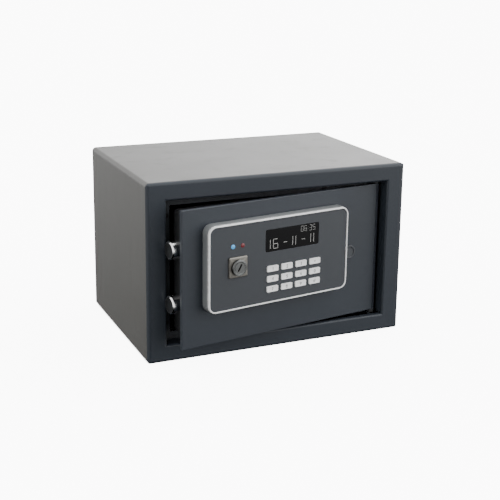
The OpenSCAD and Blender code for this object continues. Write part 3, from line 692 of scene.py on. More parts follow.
def studio_floor(name, tone, glow):
    """Pale matt sweep with a hardly visible paper tooth, its glow taken out where the cabinet stands as a
    painted contact shadow.
    """
    f = Finish(name, Specular_IOR_Level=0.0, Emission_Strength=glow)
    tooth = f.noise(240.0, 3.0, 0.6)
    lo, hi = closed_box("body_wrap")
    shadow_feather = 5 * MM
    x, y, _ = f.axes()
    # Painted contact shadow: this mask is 1 inside the cabinet's footprint and climbs from 0 over a few
    # millimetres at its edges.
    under = x.between(lo.x, lo.x + shadow_feather) * (1 - x.between(hi.x - shadow_feather, hi.x))
    under = under * y.between(lo.y, lo.y + shadow_feather) * (1 - y.between(hi.y - shadow_feather, hi.y))
    lit = f.mix(tooth, (0.985, 0.985, 0.985), (1.0, 1.0, 1.0))
    return f.paint(
        Base_Color=f.mix(tooth, shade(tone, 0.985), tone),
        # The glow goes to black where the painted contact shadow mask is 1.
        Emission_Color=f.mix(under, lit, (0.0, 0.0, 0.0)),
        Roughness=0.9 + tooth * 0.05,
        Normal=f.bump(tooth, 0.00003, 0.1),
    )


class Walls(Finish):
    """The room's own nodes: light from a direction, with no shader of a piece."""

    def __init__(self, tree):
        self.tree = tree
        self.tree.nodes.clear()
        self.shader = self.tree.nodes.new("ShaderNodeBackground")
        output = self.tree.nodes.new("ShaderNodeOutputWorld")
        self.tree.links.new(self.shader.outputs[0], output.inputs["Surface"])

    def directions(self):
        """The three parts of the direction that is looked along."""
        split = self.node("ShaderNodeSeparateXYZ", {}, {0: self.node("ShaderNodeTexCoord", out=0)})
        node = split.socket.node
        return [Wire(self, node.outputs[i]) for i in range(3)]

    def light(self, tone):
        self.feed(self.shader.inputs["Color"], tone)


def context_world():
    """The scene's world, made when there is none, with its nodes on."""
    scene = bpy.context.scene
    if scene.world is None:
        scene.world = bpy.data.worlds.new("studio")
    scene.world.use_nodes = True
    return scene.world


def steel():
    return bpy.context.scene.safe_steel


def keypad():
    return bpy.context.scene.safe_keypad


def works():
    return bpy.context.scene.safe_works


# The cabinet's sheet takes the lighter, warmer copy of the safe's one paint: painted light of its top and
# sides.
def cabinet_paint():
    s = steel()
    return once(
        "cabinet_paint",
        lambda n: powder_coat(n, s.cabinet_lit_colour, s.grain, s.cabinet_gloss, s.cabinet_level),
    )


# The front border and door plate take the darker, bluer copy of the same paint: painted shade and a painted
# blue reflection tint on the front faces.
def door_paint():
    s = steel()
    return once("door_paint", lambda n: powder_coat(n, s.door_shaded_colour, s.grain, s.door_gloss, s.door_level))


def lip_paint():
    s = steel()
    return once("lip_paint", lambda n: powder_coat(n, s.lip_colour, s.grain, 0.5, 0.4))


FINISHES = {
    "cabinet_paint": cabinet_paint,
    "door_paint": door_paint,
    "lip_paint": lip_paint,
    "hinge_steel": lambda: once("hinge_steel", lambda n: brushed(n, (0.5, 0.5, 0.49), "Z", 0.28)),
    "washer_nylon": lambda: once("washer_nylon", lambda n: moulded(n, (0.02, 0.021, 0.023), 0.5)),
    "pad_rubber": lambda: once("pad_rubber", lambda n: soft_rubber(n, (0.012, 0.012, 0.013))),
    "mat_felt": lambda: once("mat_felt", lambda n: needle_felt(n, (0.028, 0.03, 0.034))),
    "housing_plastic": lambda: once("housing_plastic", lambda n: moulded(n, keypad().housing_colour, 0.42)),
    "trim_plastic": lambda: once(
        "trim_plastic", lambda n: moulded(n, keypad().trim_colour, 0.28, 2600.0, 0.00002)
    ),
    "fascia_plastic": lambda: once(
        "fascia_plastic", lambda n: moulded(n, keypad().fascia_colour, 0.5, 1700.0, 0.00004)
    ),
    "window_plastic": lambda: once("window_plastic", lambda n: glossy_window(n, (0.003, 0.003, 0.0035))),
    "display_glass": lambda: once("display_glass", lambda n: glossy_window(n, (0.01, 0.012, 0.014))),
    "board_laminate": lambda: once("board_laminate", board_green),
    "spacer_brass": lambda: once("spacer_brass", lambda n: brushed(n, (0.68, 0.5, 0.22), "Y", 0.3)),
    "zinc_screw": lambda: once("zinc_screw", lambda n: cast_steel(n, (0.58, 0.6, 0.62), 0.3)),
    "mat_silicone": lambda: once("mat_silicone", lambda n: silicone(n, (0.38, 0.38, 0.36))),
    "escutcheon_metal": lambda: once(
        "escutcheon_metal", lambda n: brushed(n, works().escutcheon_colour, "X", 0.42, 1100.0, 0.85)
    ),
    "lock_metal": lambda: once("lock_metal", lambda n: cast_steel(n, works().lock_colour, 0.36, 1.0, 0.3)),
    "plug_plastic": lambda: once("plug_plastic", lambda n: moulded(n, (0.035, 0.04, 0.047), 0.5)),
    "guide_plastic": lambda: once("guide_plastic", lambda n: silicone(n, (0.62, 0.62, 0.58))),
    "motor_metal": lambda: once("motor_metal", lambda n: cast_steel(n, (0.42, 0.43, 0.44), 0.38)),
    "lead_sleeve": lambda: once("lead_sleeve", lambda n: braided(n, (0.02, 0.02, 0.022))),
    "post_steel": lambda: once("post_steel", lambda n: brushed(n, (0.45, 0.46, 0.47), "Y", 0.34)),
    "cover_plastic": lambda: once(
        "cover_plastic", lambda n: moulded(n, works().cover_colour, 0.52, 1300.0, 0.00009)
    ),
    "holder_plastic": lambda: once("holder_plastic", lambda n: moulded(n, (0.016, 0.017, 0.019), 0.45)),
    "contact_nickel": lambda: once(
        "contact_nickel", lambda n: cast_steel(n, (0.66, 0.64, 0.58), 0.24, 1.0, 0.15)
    ),
    "switch_plastic": lambda: once("switch_plastic", lambda n: moulded(n, (0.02, 0.021, 0.024), 0.4)),
    "bolt_chrome": lambda: once("bolt_chrome", chrome),
    "bar_steel": lambda: once("bar_steel", lambda n: brushed(n, (0.4, 0.41, 0.42), "Z", 0.36)),
    "gear_brass": lambda: once("gear_brass", lambda n: brushed(n, (0.7, 0.53, 0.24), "Y", 0.3)),
    "button_plastic": lambda: once("button_plastic", lambda n: moulded(n, (0.42, 0.035, 0.022), 0.32)),
    "key_plastic": lambda: once(
        "key_plastic", lambda n: moulded(n, keypad().key_colour, 0.38, 2400.0, 0.00002)
    ),
}


# ---- Sizes and colours a user would change ----


def colour_prop(name, description, default):
    return FloatVectorProperty(
        name=name, description=description, default=default, min=0, max=1, size=3, subtype="COLOR"
    )


def length_prop(name, description, default_mm, low_mm=0.0, high_mm=50.0):
    return FloatProperty(
        name=name,
        description=description,
        default=default_mm * MM,
        min=low_mm * MM,
        max=high_mm * MM,
        precision=5,
        subtype="DISTANCE",
        unit="LENGTH",
    )


def share_prop(name, description, default, high=1.0):
    return FloatProperty(
        name=name, description=description, default=default, min=0, max=high, subtype="FACTOR"
    )


class SafeSteelSettings(bpy.types.PropertyGroup):
    """Painted steel of the cabinet and the door."""

    # The cabinet's colour is a lighter, warmer copy of the safe's one paint: painted light of its lit top and
    # sides.
    cabinet_lit_colour: colour_prop(
        "Cabinet paint", "Colour of the cabinet's folded sheet", (0.066, 0.0645, 0.06)
    )
    # The door's colour is a darker, bluer copy of the same paint: painted shade on the front border and door
    # plate, with a painted blue reflection tint.
    door_shaded_colour: colour_prop(
        "Door paint", "Colour of the front border and the door plate", (0.024, 0.03, 0.039)
    )
    lip_colour: colour_prop("Lip paint", "Colour of the stop lip behind the opening", (0.028, 0.032, 0.037))
    cabinet_gloss: share_prop("Cabinet roughness", "How matt the cabinet's paint is", 0.4)
    cabinet_level: share_prop("Cabinet reflection", "How strongly the cabinet's paint mirrors", 0.6)
    door_gloss: share_prop("Door roughness", "How matt the door's paint is", 0.42)
    door_level: share_prop("Door reflection", "How strongly the door's paint mirrors", 0.4)
    grain: FloatProperty(
        name="Paint grain", description="Orange-peel cells in a metre", default=620.0, min=50
    )
    sheet_ease: length_prop("Sheet edge", "Rounding of cut sheet edges", 0.35, 0.05, 1)
    plate_ease: length_prop("Plate edge", "Rounding of the door plate's edges", 0.6, 0.1, 1.5)
    fitting_ease: length_prop("Fitting edge", "Rounding of hinge parts and pads", 0.3, 0.05, 1)


class SafeKeypadSettings(bpy.types.PropertyGroup):
    """Keypad housing, keys, display and lights."""

    housing_colour: colour_prop("Housing", "Colour of the housing's sides", (0.18, 0.189, 0.194))
    trim_colour: colour_prop("Rim", "Colour of the bright rim", (0.94, 0.94, 0.94))
    fascia_colour: colour_prop("Fascia", "Colour of the housing's front plate", (0.03, 0.035, 0.042))
    key_colour: colour_prop("Keys", "Colour of the key caps", (0.96, 0.96, 0.96))
    legend_colour: colour_prop("Legends", "Colour of the printed digits", (0.03, 0.032, 0.035))
    digit_colour: colour_prop("Display digits", "Colour of the lit strokes", (0.62, 0.62, 0.6))
    digit_glow: FloatProperty(
        name="Digit glow", description="Strength of the lit strokes", default=0.36, min=0
    )
    trim_round: length_prop("Rim rounding", "Rounding of the rim's outer front edge", 0.8, 0.2, 1.2)
    window_ease: length_prop("Window edge", "Rounding of the fascia's and window's edges", 0.2, 0.05, 0.5)
    key_round: length_prop("Key rounding", "Rounding of the key caps' front edges", 0.35, 0.1, 0.9)
    key_dish: length_prop("Key dish", "Depth of the hollow in each key cap", 0.25, 0, 0.5)
    legend_height: length_prop("Legend height", "Height of the printed digits", 3.6, 2, 6)
    stroke: length_prop("Stroke width", "Width of a large display stroke", 0.48, 0.2, 1.5)
    date_height: length_prop("Large digit height", "Height of the display's large digits", 10.2, 5, 16)
    time_height: length_prop("Small digit height", "Height of the display's small digits", 6.0, 3, 10)


class SafeWorksSettings(bpy.types.PropertyGroup):
    """Lock, boltwork, cover and batteries."""

    escutcheon_colour: colour_prop(
        "Lock plate", "Colour of the square plate round the lock", (0.22, 0.21, 0.19)
    )
    lock_colour: colour_prop("Lock face", "Colour of the round lock", (0.16, 0.165, 0.162))
    cover_colour: colour_prop("Inner cover", "Colour of the cover over the mechanism", (0.02, 0.021, 0.023))
    bolt_face: colour_prop("Bolt end", "Colour of the bolts' turned ends", (0.07, 0.073, 0.075))
    lock_ease: length_prop("Lock edge", "Rounding of the lock's edges", 0.3, 0.05, 1)
    cover_ease: length_prop("Cover edge", "Rounding of the inner cover's edges", 0.7, 0.1, 1.2)
    small_ease: length_prop("Small edge", "Rounding of the small parts' edges", 0.18, 0.05, 0.5)


class SafeStageSettings(bpy.types.PropertyGroup):
    """Floor, lights and camera."""

    floor_size: FloatProperty(
        name="Floor", description="Side of the square floor", default=60.0, unit="LENGTH"
    )
    floor_tone: share_prop("Floor tone", "How pale the floor is", 0.85)
    floor_glow: share_prop("Floor glow", "Evenness of the floor's light", 9.0, 20.0)
    front_tone: share_prop("Front wall", "Light from the room in front", 0.74, 4.0)
    left_tone: share_prop("Left wall", "Light that the left wall adds", 1.5, 4.0)
    right_tone: share_prop("Right wall", "Light that the right wall adds", 3.2, 4.0)
    back_tone: share_prop("Back wall", "Light that the wall behind adds", 0.85, 4.0)
    low_dark: share_prop("Low shade", "How much dimmer the room is below the eye", 1.0)
    top_power: FloatProperty(
        name="Top light", description="Power of the softbox above", default=3.5, unit="POWER"
    )
    focal: FloatProperty(
        name="Focal length", description="Lens of the camera in millimetres", default=75.17, min=10
    )
    shift: FloatProperty(name="Vertical shift", description="Rise of the lens", default=-0.1)
    azimuth: FloatProperty(
        name="Azimuth", description="Way the camera looks", default=math.radians(23.59), subtype="ANGLE"
    )
    pitch: FloatProperty(
        name="Pitch", description="How far it looks down", default=math.radians(13.98), subtype="ANGLE"
    )
    roll: FloatProperty(
        name="Roll", description="Turn about its own line", default=math.radians(0.73), subtype="ANGLE"
    )
    place: FloatVectorProperty(
        name="Camera",
        description="Where the camera stands",
        default=(-0.475, -1.106, 0.445),
        size=3,
        subtype="TRANSLATION",
    )


# ---- Operators ----


class BuildSafe:
    """Shared settings of the building operators."""

    bl_options = {"REGISTER", "UNDO"}


class SAFE_OT_cabinet(BuildSafe, bpy.types.Operator):
    """Cabinet of folded sheet with its border, back and stop lip"""

    bl_idname = "safe.cabinet"
    bl_label = "Cabinet"

    def execute(self, context):
        s = steel()
        for node in ("body_wrap", "back_panel", "front_frame", "stop_frame"):
            eased_node(node, s.sheet_ease)
        return {"FINISHED"}


class SAFE_OT_fittings(BuildSafe, bpy.types.Operator):
    """Hinge lugs, pins and washers, buffer pads and the floor mat"""

    bl_idname = "safe.fittings"
    bl_label = "Hinge, pads and mat"

    def execute(self, context):
        s = steel()
        for node in ("hinge_lugs", "hinge_pins", "hinge_washers", "buffer_pads"):
            eased_node(node, s.fitting_ease)
        eased_node("floor_mat", 0.5 * MM)
        return {"FINISHED"}


class SAFE_OT_door(BuildSafe, bpy.types.Operator):
    """Door plate, its blanking plug and its cable grommet"""

    bl_idname = "safe.door"
    bl_label = "Door"

    def execute(self, context):
        s = steel()
        eased_node("door_leaf", s.plate_ease)
        self.plug()
        eased_node("cable_grommet", s.fitting_ease)
        return {"FINISHED"}

    def plug(self):
        """A turned cap: rim, dished face with a moulding pip, and a round stem."""
        lo, hi = closed_box("side_plug")
        leaf_front = closed_box("door_leaf")[0].y
        centre = middle((lo, hi))
        radius = (hi.x - lo.x) / 2
        front, seat, back = lo.y - centre.y, leaf_front - centre.y, hi.y - centre.y
        dish = front + (seat - front) / 2
        profile = [
            (0, dish - 0.12 * MM),
            (0.7 * MM, dish - 0.12 * MM),
            (0.9 * MM, dish),
            (radius - 2.3 * MM, dish),
            (radius - 1.9 * MM, front + 0.1 * MM),
            (radius - 1.6 * MM, front),
            (radius - 0.5 * MM, front),
            (radius, front + 0.5 * MM),
            (radius, seat),
            (5.0 * MM, seat),
            (5.0 * MM, back - 0.5 * MM),
            (4.5 * MM, back),
            (0, back),
        ]
        bm = bmesh.new()
        turned(bm, rounded(profile), centre)
        add_piece("side_plug_made", bm, "door", FINISHES["plug_plastic"](), ["side_plug"])


class SAFE_OT_housing(BuildSafe, bpy.types.Operator):
    """Keypad housing with its bright rim and front plate"""

    bl_idname = "safe.housing"
    bl_label = "Keypad housing"

    def execute(self, context):
        k = keypad()
        eased_node("housing_shell", 0.3 * MM)
        self.rim(k.trim_round)
        eased_node("fascia", k.window_ease)
        return {"FINISHED"}

    def rim(self, round_by):
        """A closed band whose front is rounded over on both sides."""
        lo, hi = closed_box("trim_ring")
        plate_lo, plate_hi = closed_box("fascia")
        inner_w = plate_hi.x - plate_lo.x + 0.4 * MM
        w, h = hi.x - lo.x - 0.8 * MM, hi.z - lo.z - 0.8 * MM
        band = (w - inner_w) / 2
        outer_r = 9.0 * MM
        depth = hi.y - lo.y
        section = [(0.0, depth), (0.0, round_by)]
        section += [
            (round_by * (1 - math.cos(math.radians(a))), round_by * (1 - math.sin(math.radians(a))))
            for a in range(15, 90, 15)
        ]
        inside = 0.4 * MM
        section += [(round_by, 0.0), (band - inside, 0.0)]
        section += [
            (band - inside * (1 - math.sin(math.radians(a))), inside * (1 - math.cos(math.radians(a))))
            for a in range(22, 90, 22)
        ]
        section += [(band, inside), (band, depth)]
        rings = []
        for inset, back in section:
            outline = ring_outline(w - 2 * inset, h - 2 * inset, max(outer_r - inset, 1 * MM), 14)
            rings.append((outline, lo.y + back - middle((lo, hi)).y))
        bm = bmesh.new()
        made = loft(bm, rings, middle((lo, hi)), caps=(False, False))
        for i in range(len(made[0])):
            j = (i + 1) % len(made[0])
            bm.faces.new((made[0][i], made[-1][i], made[-1][j], made[0][j]))
        add_piece("trim_ring_made", bm, "door", FINISHES["trim_plastic"](), ["trim_ring"])


SEGMENTS = {
    "0": "abcdef", "1": "bc", "2": "abged", "3": "abgcd", "5": "afgcd", "6": "afgecd", "-": "g", ":": ":",
}


def segment_strokes(text, height, width, gap, stroke):
    """(x, z, w, h) of each lit stroke of a line of digits, from its left end at half height."""
    x, out = 0.0, []
    for sign in text:
        if sign == ":":
            out += [(x, height * 0.2, stroke, stroke), (x, -height * 0.2, stroke, stroke)]
            x += stroke + gap
            continue
        if sign == "1":
            upright = height / 2 - stroke * 0.3
            out += [(x, height / 4, stroke, upright), (x, -height / 4, stroke, upright)]
            x += stroke + gap
            continue
        if sign == "-":
            out.append((x + width / 2, 0, width * 0.8, stroke))
            x += width + gap
            continue
        if sign == " ":
            x += gap
            continue
        where = {
            "a": (width / 2, height / 2, width - stroke, stroke),
            "g": (width / 2, 0, width - stroke, stroke),
            "d": (width / 2, -height / 2, width - stroke, stroke),
            "b": (width, height / 4, stroke, height / 2 - stroke * 0.3),
            "c": (width, -height / 4, stroke, height / 2 - stroke * 0.3),
            "f": (0, height / 4, stroke, height / 2 - stroke * 0.3),
            "e": (0, -height / 4, stroke, height / 2 - stroke * 0.3),
        }
        for name in SEGMENTS[sign]:
            dx, dz, w, h = where[name]
            out.append((x + dx, dz, w, h))
        x += width + gap
    return out, x - gap


class SAFE_OT_display(BuildSafe, bpy.types.Operator):
    """Dark window with its lit digits and the module behind it"""

    bl_idname = "safe.display"
    bl_label = "Display"

    def execute(self, context):
        k = keypad()
        eased_node("display_window", k.window_ease)
        eased_node("display_module", k.window_ease)
        lo, hi = closed_box("display_window")
        w, h = hi.x - lo.x, hi.z - lo.z
        face = lo.y
        rows = (
            ("display_date", "16 - 11 - 11", k.date_height, 0.085, 0.915, 0.335, k.stroke, k.digit_glow),
            ("display_time", "06:35", k.time_height, 0.66, 0.93, 0.81, k.stroke * 0.62, k.digit_glow * 0.42),
        )
        for name, text, height, left, right, up, stroke, glow in rows:
            span = (lo.x + w * left, lo.x + w * right)
            self.row(name, text, height, span, lo.z + h * up, face, stroke, glow)
        return {"FINISHED"}

    def row(self, name, text, height, span, z, face, stroke, glow):
        width, gap = height * 0.5, height * 0.3
        strokes, total = segment_strokes(text, height, width, gap, stroke)
        fit = (span[1] - span[0]) / total
        bm = bmesh.new()
        for x, dz, w, h in strokes:
            w = w * fit if w > h else w
            centre = Vector((span[0] + x * fit, face, z + dz))
            r = min(w, h) * 0.42
            prism(bm, ring_outline(w, h, r, 3), centre, -0.04 * MM, 0.0)
        finish = once(f"{name}_ink", lambda n: lit_stroke(n, keypad().digit_colour, glow))
        add_piece(name, bm, "door", finish, flat=True)


KEYS = {
    "key_1": "1", "key_2": "2", "key_3": "3", "key_star": "*", "key_4": "4", "key_5": "5",
    "key_6": "6", "key_0": "0", "key_7": "7", "key_8": "8", "key_9": "9", "key_hash": "#",
}  # fmt: skip


class SAFE_OT_keys(BuildSafe, bpy.types.Operator):
    """Twelve dished key caps with printed legends, and the mat under them"""

    bl_idname = "safe.keys"
    bl_label = "Keys"

    def execute(self, context):
        for node, sign in KEYS.items():
            self.cap(node)
            self.legend(node, sign)
        eased_node("key_mat", works().small_ease)
        return {"FINISHED"}

    def face_of(self, node):
        lo, hi = closed_box(node)
        w, h = hi.x - lo.x - 1.6 * MM, hi.z - lo.z - 1.6 * MM
        return lo, hi, middle((lo, hi)), w, h

    def cap(self, node):
        """Rounded cap, dished in front, on its retaining flange and stem."""
        k = keypad()
        lo, hi, centre, w, h = self.face_of(node)
        front = lo.y - centre.y
        fascia_back = closed_box("fascia")[1].y - centre.y
        flange = fascia_back + 0.2 * MM
        rings = []
        for i in range(5):
            a = math.radians(90 * i / 4)
            inset = k.key_round * (1 - math.cos(a))
            rings.append((inset, front + k.key_round * (1 - math.sin(a))))
        body = [(ring_outline(w + 1.6 * MM, h + 1.6 * MM, 1.2 * MM), flange + 1 * MM)]
        body += [(ring_outline(w + 1.6 * MM, h + 1.6 * MM, 1.2 * MM), flange)]
        body += [(ring_outline(w, h, 1.2 * MM), flange)]
        body += [(ring_outline(w - 2 * i, h - 2 * i, max(1.2 * MM - i, 0.35 * MM)), d) for i, d in rings]
        for step in (0.25, 0.45, 0.65, 0.85):
            inset = k.key_round + step * (h / 2 - k.key_round)
            sink = k.key_dish * math.sin(step * math.pi / 2) ** 2
            corner = 0.3 * MM * (1 - step) + 0.05 * MM
            body.append((ring_outline(w - 2 * inset, h - 2 * inset, corner), front + sink))
        bm = bmesh.new()
        loft(bm, body, centre)
        turned(
            bm,
            [(0, flange + 0.9 * MM), (2 * MM, flange + 0.9 * MM), (2 * MM, hi.y - centre.y - 0.2 * MM),
             (1.8 * MM, hi.y - centre.y), (0, hi.y - centre.y)],
            centre, steps=24,
        )  # fmt: skip
        add_piece(f"{node}_cap", bm, node, FINISHES["key_plastic"](), [node])

    def legend(self, node, sign):
        """The digit as a film of ink that follows the dish."""
        k = keypad()
        lo, _, centre, _, h = self.face_of(node)
        text = bpy.data.curves.new(f"{node}_legend", "FONT")
        text.body, text.align_x, text.align_y = sign, "CENTER", "CENTER"
        text.size = k.legend_height / 0.69
        text.extrude = 0.02 * MM
        text.resolution_u = 6
        made = bpy.data.objects.new(f"{node}_text", text)
        bpy.context.scene.collection.objects.link(made)
        bpy.context.view_layer.update()
        mesh = bpy.data.meshes.new_from_object(made.evaluated_get(bpy.context.evaluated_depsgraph_get()))
        bpy.data.objects.remove(made)
        bm = bmesh.new()
        bm.from_mesh(mesh)
        xs = [v.co.x for v in bm.verts]
        ys = [v.co.y for v in bm.verts]
        mid = Vector(((min(xs) + max(xs)) / 2, (min(ys) + max(ys)) / 2, 0))
        for v in bm.verts:
            p = v.co - mid
            near = max(0.0, 1 - abs(p.y) / (h / 2 - k.key_round))
            sink = k.key_dish * math.sin(min(1, near) * math.pi / 2) ** 2
            v.co = Vector((centre.x + p.x, lo.y + sink * 0.96 - 0.012 * MM - p.z, centre.z + p.y))
        finish = once("legend_ink", lambda n: ink(n, keypad().legend_colour))
        add_piece(f"{node}_legend", bm, node, finish, flat=True)


class SAFE_OT_lights(BuildSafe, bpy.types.Operator):
    """Two status lenses"""

    bl_idname = "safe.lights"
    bl_label = "Status lights"

    def execute(self, context):
        tones = (
            ("status_light_left", (0.08, 0.36, 0.7), 0.3),
            ("status_light_right", (0.16, 0.02, 0.025), 0.03),
        )
        boxes = sorted(solids("status_lights"), key=lambda b: b[0].x)
        for (name, colour, power), (lo, hi) in zip(tones, boxes):
            centre = middle((lo, hi))
            r = (hi.x - lo.x) / 2
            front, back = lo.y - centre.y, hi.y - centre.y
            arc = [math.radians(a) for a in range(0, 91, 10)]
            dome = [(r * math.sin(a), front + 0.45 * MM * (1 - math.cos(a))) for a in arc]
            bm = bmesh.new()
            turned(bm, dome + [(r, back - 0.2 * MM), (r - 0.2 * MM, back), (0, back)], centre, steps=48)
            finish = once(f"{name}_lens", lambda n, c=colour, p=power: light_lens(n, c, p))
            add_piece(name, bm, "door", finish, ["status_lights"])
        return {"FINISHED"}


class SAFE_OT_lock(BuildSafe, bpy.types.Operator):
    """Override lock: plate, barrel, core with its keyway, nut and cam"""

    bl_idname = "safe.lock"
    bl_label = "Override lock"

    def execute(self, context):
        w = works()
        self.plate(w.lock_ease)
        self.barrel()
        centre = middle(closed_box("lock_barrel"))
        core = once("core_metal", lambda n: lathe_marks(n, w.lock_colour, centre, "Y", 0.34))
        eased_node("lock_plug", 0.2 * MM, finish=core)
        eased_node("lock_nut", w.lock_ease)
        eased_node("lock_cam", w.lock_ease)
        return {"FINISHED"}

    def plate(self, width):
        """Square plate with a raised land round the barrel and bevelled sides."""
        lo, hi = closed_box("lock_escutcheon")
        centre = middle((lo, hi))
        size, depth = hi.x - lo.x, hi.y - lo.y
        front, back = -depth / 2, depth / 2
        bore = 8.3 * MM
        steps = 18
        square = [
            (ring_outline(size, size, 1.5 * MM, steps - 1), back),
            (ring_outline(size, size, 1.5 * MM, steps - 1), front + 0.9 * MM),
            (ring_outline(size - 0.5 * MM, size - 0.5 * MM, 1.3 * MM, steps - 1), front + 0.45 * MM),
            (ring_outline(size - 1.6 * MM, size - 1.6 * MM, 1.1 * MM, steps - 1), front + 0.15 * MM),
            (ring_outline(size - 2.6 * MM, size - 2.6 * MM, 1.1 * MM, steps - 1), front + 0.1 * MM),
        ]
        round_rings = [
            (10.2 * MM, front + 0.1 * MM), (9.9 * MM, front), (bore + 0.3 * MM, front),
            (bore, front + 0.3 * MM), (bore, back),
        ]  # fmt: skip
        rings = list(square)
        corner = [math.atan2(v, u) for u, v in square[-1][0]]
        for r, d in round_rings:
            rings.append(([(r * math.cos(a), r * math.sin(a)) for a in corner], d))
        bm = bmesh.new()
        made = loft(bm, rings, centre, caps=(False, False))
        n = len(made[0])
        for i in range(n):
            j = (i + 1) % n
            bm.faces.new((made[0][i], made[-1][i], made[-1][j], made[0][j]))
        finish = FINISHES["escutcheon_metal"]()
        add_piece("lock_escutcheon_made", bm, "door", finish, ["lock_escutcheon"])

    def barrel(self):
        """Flanged barrel with a turned groove in its face and a threaded body."""
        lo, hi = closed_box("lock_barrel")
        centre = middle((lo, hi))
        flange_r = (hi.x - lo.x) / 2
        front, back = lo.y - centre.y, hi.y - centre.y
        seat = closed_box("lock_escutcheon")[0].y - centre.y
        nut_front = closed_box("lock_nut")[0].y - centre.y
        bore, body_r = 6.05 * MM, 8.0 * MM
        profile = [
            (bore, back), (bore, front + 0.35 * MM), (bore + 0.35 * MM, front), (flange_r - 1.5 * MM, front),
            (flange_r - 1.35 * MM, front + 0.15 * MM), (flange_r - 1.1 * MM, front + 0.15 * MM),
            (flange_r - 0.95 * MM, front + 0.05 * MM), (flange_r - 0.5 * MM, front + 0.1 * MM),
            (flange_r, front + 0.6 * MM), (flange_r, seat), (body_r, seat), (body_r, nut_front),
        ]  # fmt: skip
        pitch, depth = 1.0 * MM, 0.25 * MM
        turns = int((back - nut_front) / pitch)
        for i in range(turns):
            y = nut_front + i * pitch
            profile += [(body_r - depth, y + 0.5 * pitch), (body_r - 0.02 * MM, y + 0.95 * pitch)]
        profile += [(body_r - 0.3 * MM, back), (bore, back)]
        bm = bmesh.new()
        turned(bm, profile, centre)
        bmesh.ops.remove_doubles(bm, verts=bm.verts, dist=JOIN)
        finish = once("barrel_metal", lambda n: lathe_marks(n, works().lock_colour, centre, "Y", 0.3))
        add_piece("lock_barrel_made", bm, "door", finish, ["lock_barrel"])


class SAFE_OT_boltwork(BuildSafe, bpy.types.Operator):
    """Chrome bolts with turned ends, their bar, and the guides"""

    bl_idname = "safe.boltwork"
    bl_label = "Boltwork"

    def execute(self, context):
        w = works()
        for node in ("bolt_upper", "bolt_lower"):
            self.bolt(node)
        eased_node("bolt_bar", 0.12 * MM, 2)
        eased_node("bolt_guide", w.lock_ease)
        eased_node("bar_guide", w.lock_ease)
        return {"FINISHED"}

    def bolt(self, node):
        """Plated rod with a bright chamfer and a darker, faced end with its centre mark."""
        lo, hi = closed_box(node)
        centre = middle((lo, hi))
        r = (hi.z - lo.z) / 2
        tip, back = lo.x - centre.x, hi.x - centre.x
        rod = [
            (r - 1.5 * MM, tip + 0.02 * MM), (r - 1.35 * MM, tip), (r - 1.1 * MM, tip + 0.03 * MM),
            (r - 0.15 * MM, tip + 0.9 * MM), (r, tip + 1.3 * MM), (r, back - 0.4 * MM), (r - 0.4 * MM, back),
            (2.5 * MM, back), (2.5 * MM, back - 10 * MM), (0, back - 10 * MM),
        ]  # fmt: skip
        face = [
            (0, tip + 0.45 * MM), (0.5 * MM, tip + 0.3 * MM), (0.75 * MM, tip + 0.1 * MM),
            (r - 1.9 * MM, tip + 0.1 * MM), (r - 1.5 * MM, tip + 0.02 * MM),
        ]  # fmt: skip
        bm = bmesh.new()
        turned(bm, rod, centre, "X")
        add_piece(f"{node}_rod", bm, "bolts", FINISHES["bolt_chrome"](), [node])
        bm = bmesh.new()
        turned(bm, face, centre, "X")
        finish = once(f"{node}_face", lambda n: lathe_marks(n, works().bolt_face, centre, "X", 0.42, 0.0006))
        add_piece(f"{node}_end", bm, "bolts", finish)


class SAFE_OT_drive(BuildSafe, bpy.types.Operator):
    """Gear motor, pinion, shaft and the sleeved leads"""

    bl_idname = "safe.drive"
    bl_label = "Drive and leads"

    def execute(self, context):
        w = works()
        eased_node("gear_motor", 0.5 * MM)
        eased_node("drive_gear", 0.06 * MM, 2)
        eased_node("drive_shaft", w.small_ease)
        eased_node("wire_loom", w.small_ease)
        return {"FINISHED"}


class SAFE_OT_board(BuildSafe, bpy.types.Operator):
    """Circuit board with its spacers"""

    bl_idname = "safe.board"
    bl_label = "Circuit board"

    def execute(self, context):
        for node in ("circuit_board", "board_spacers"):
            eased_node(node, works().small_ease, 2)
        return {"FINISHED"}


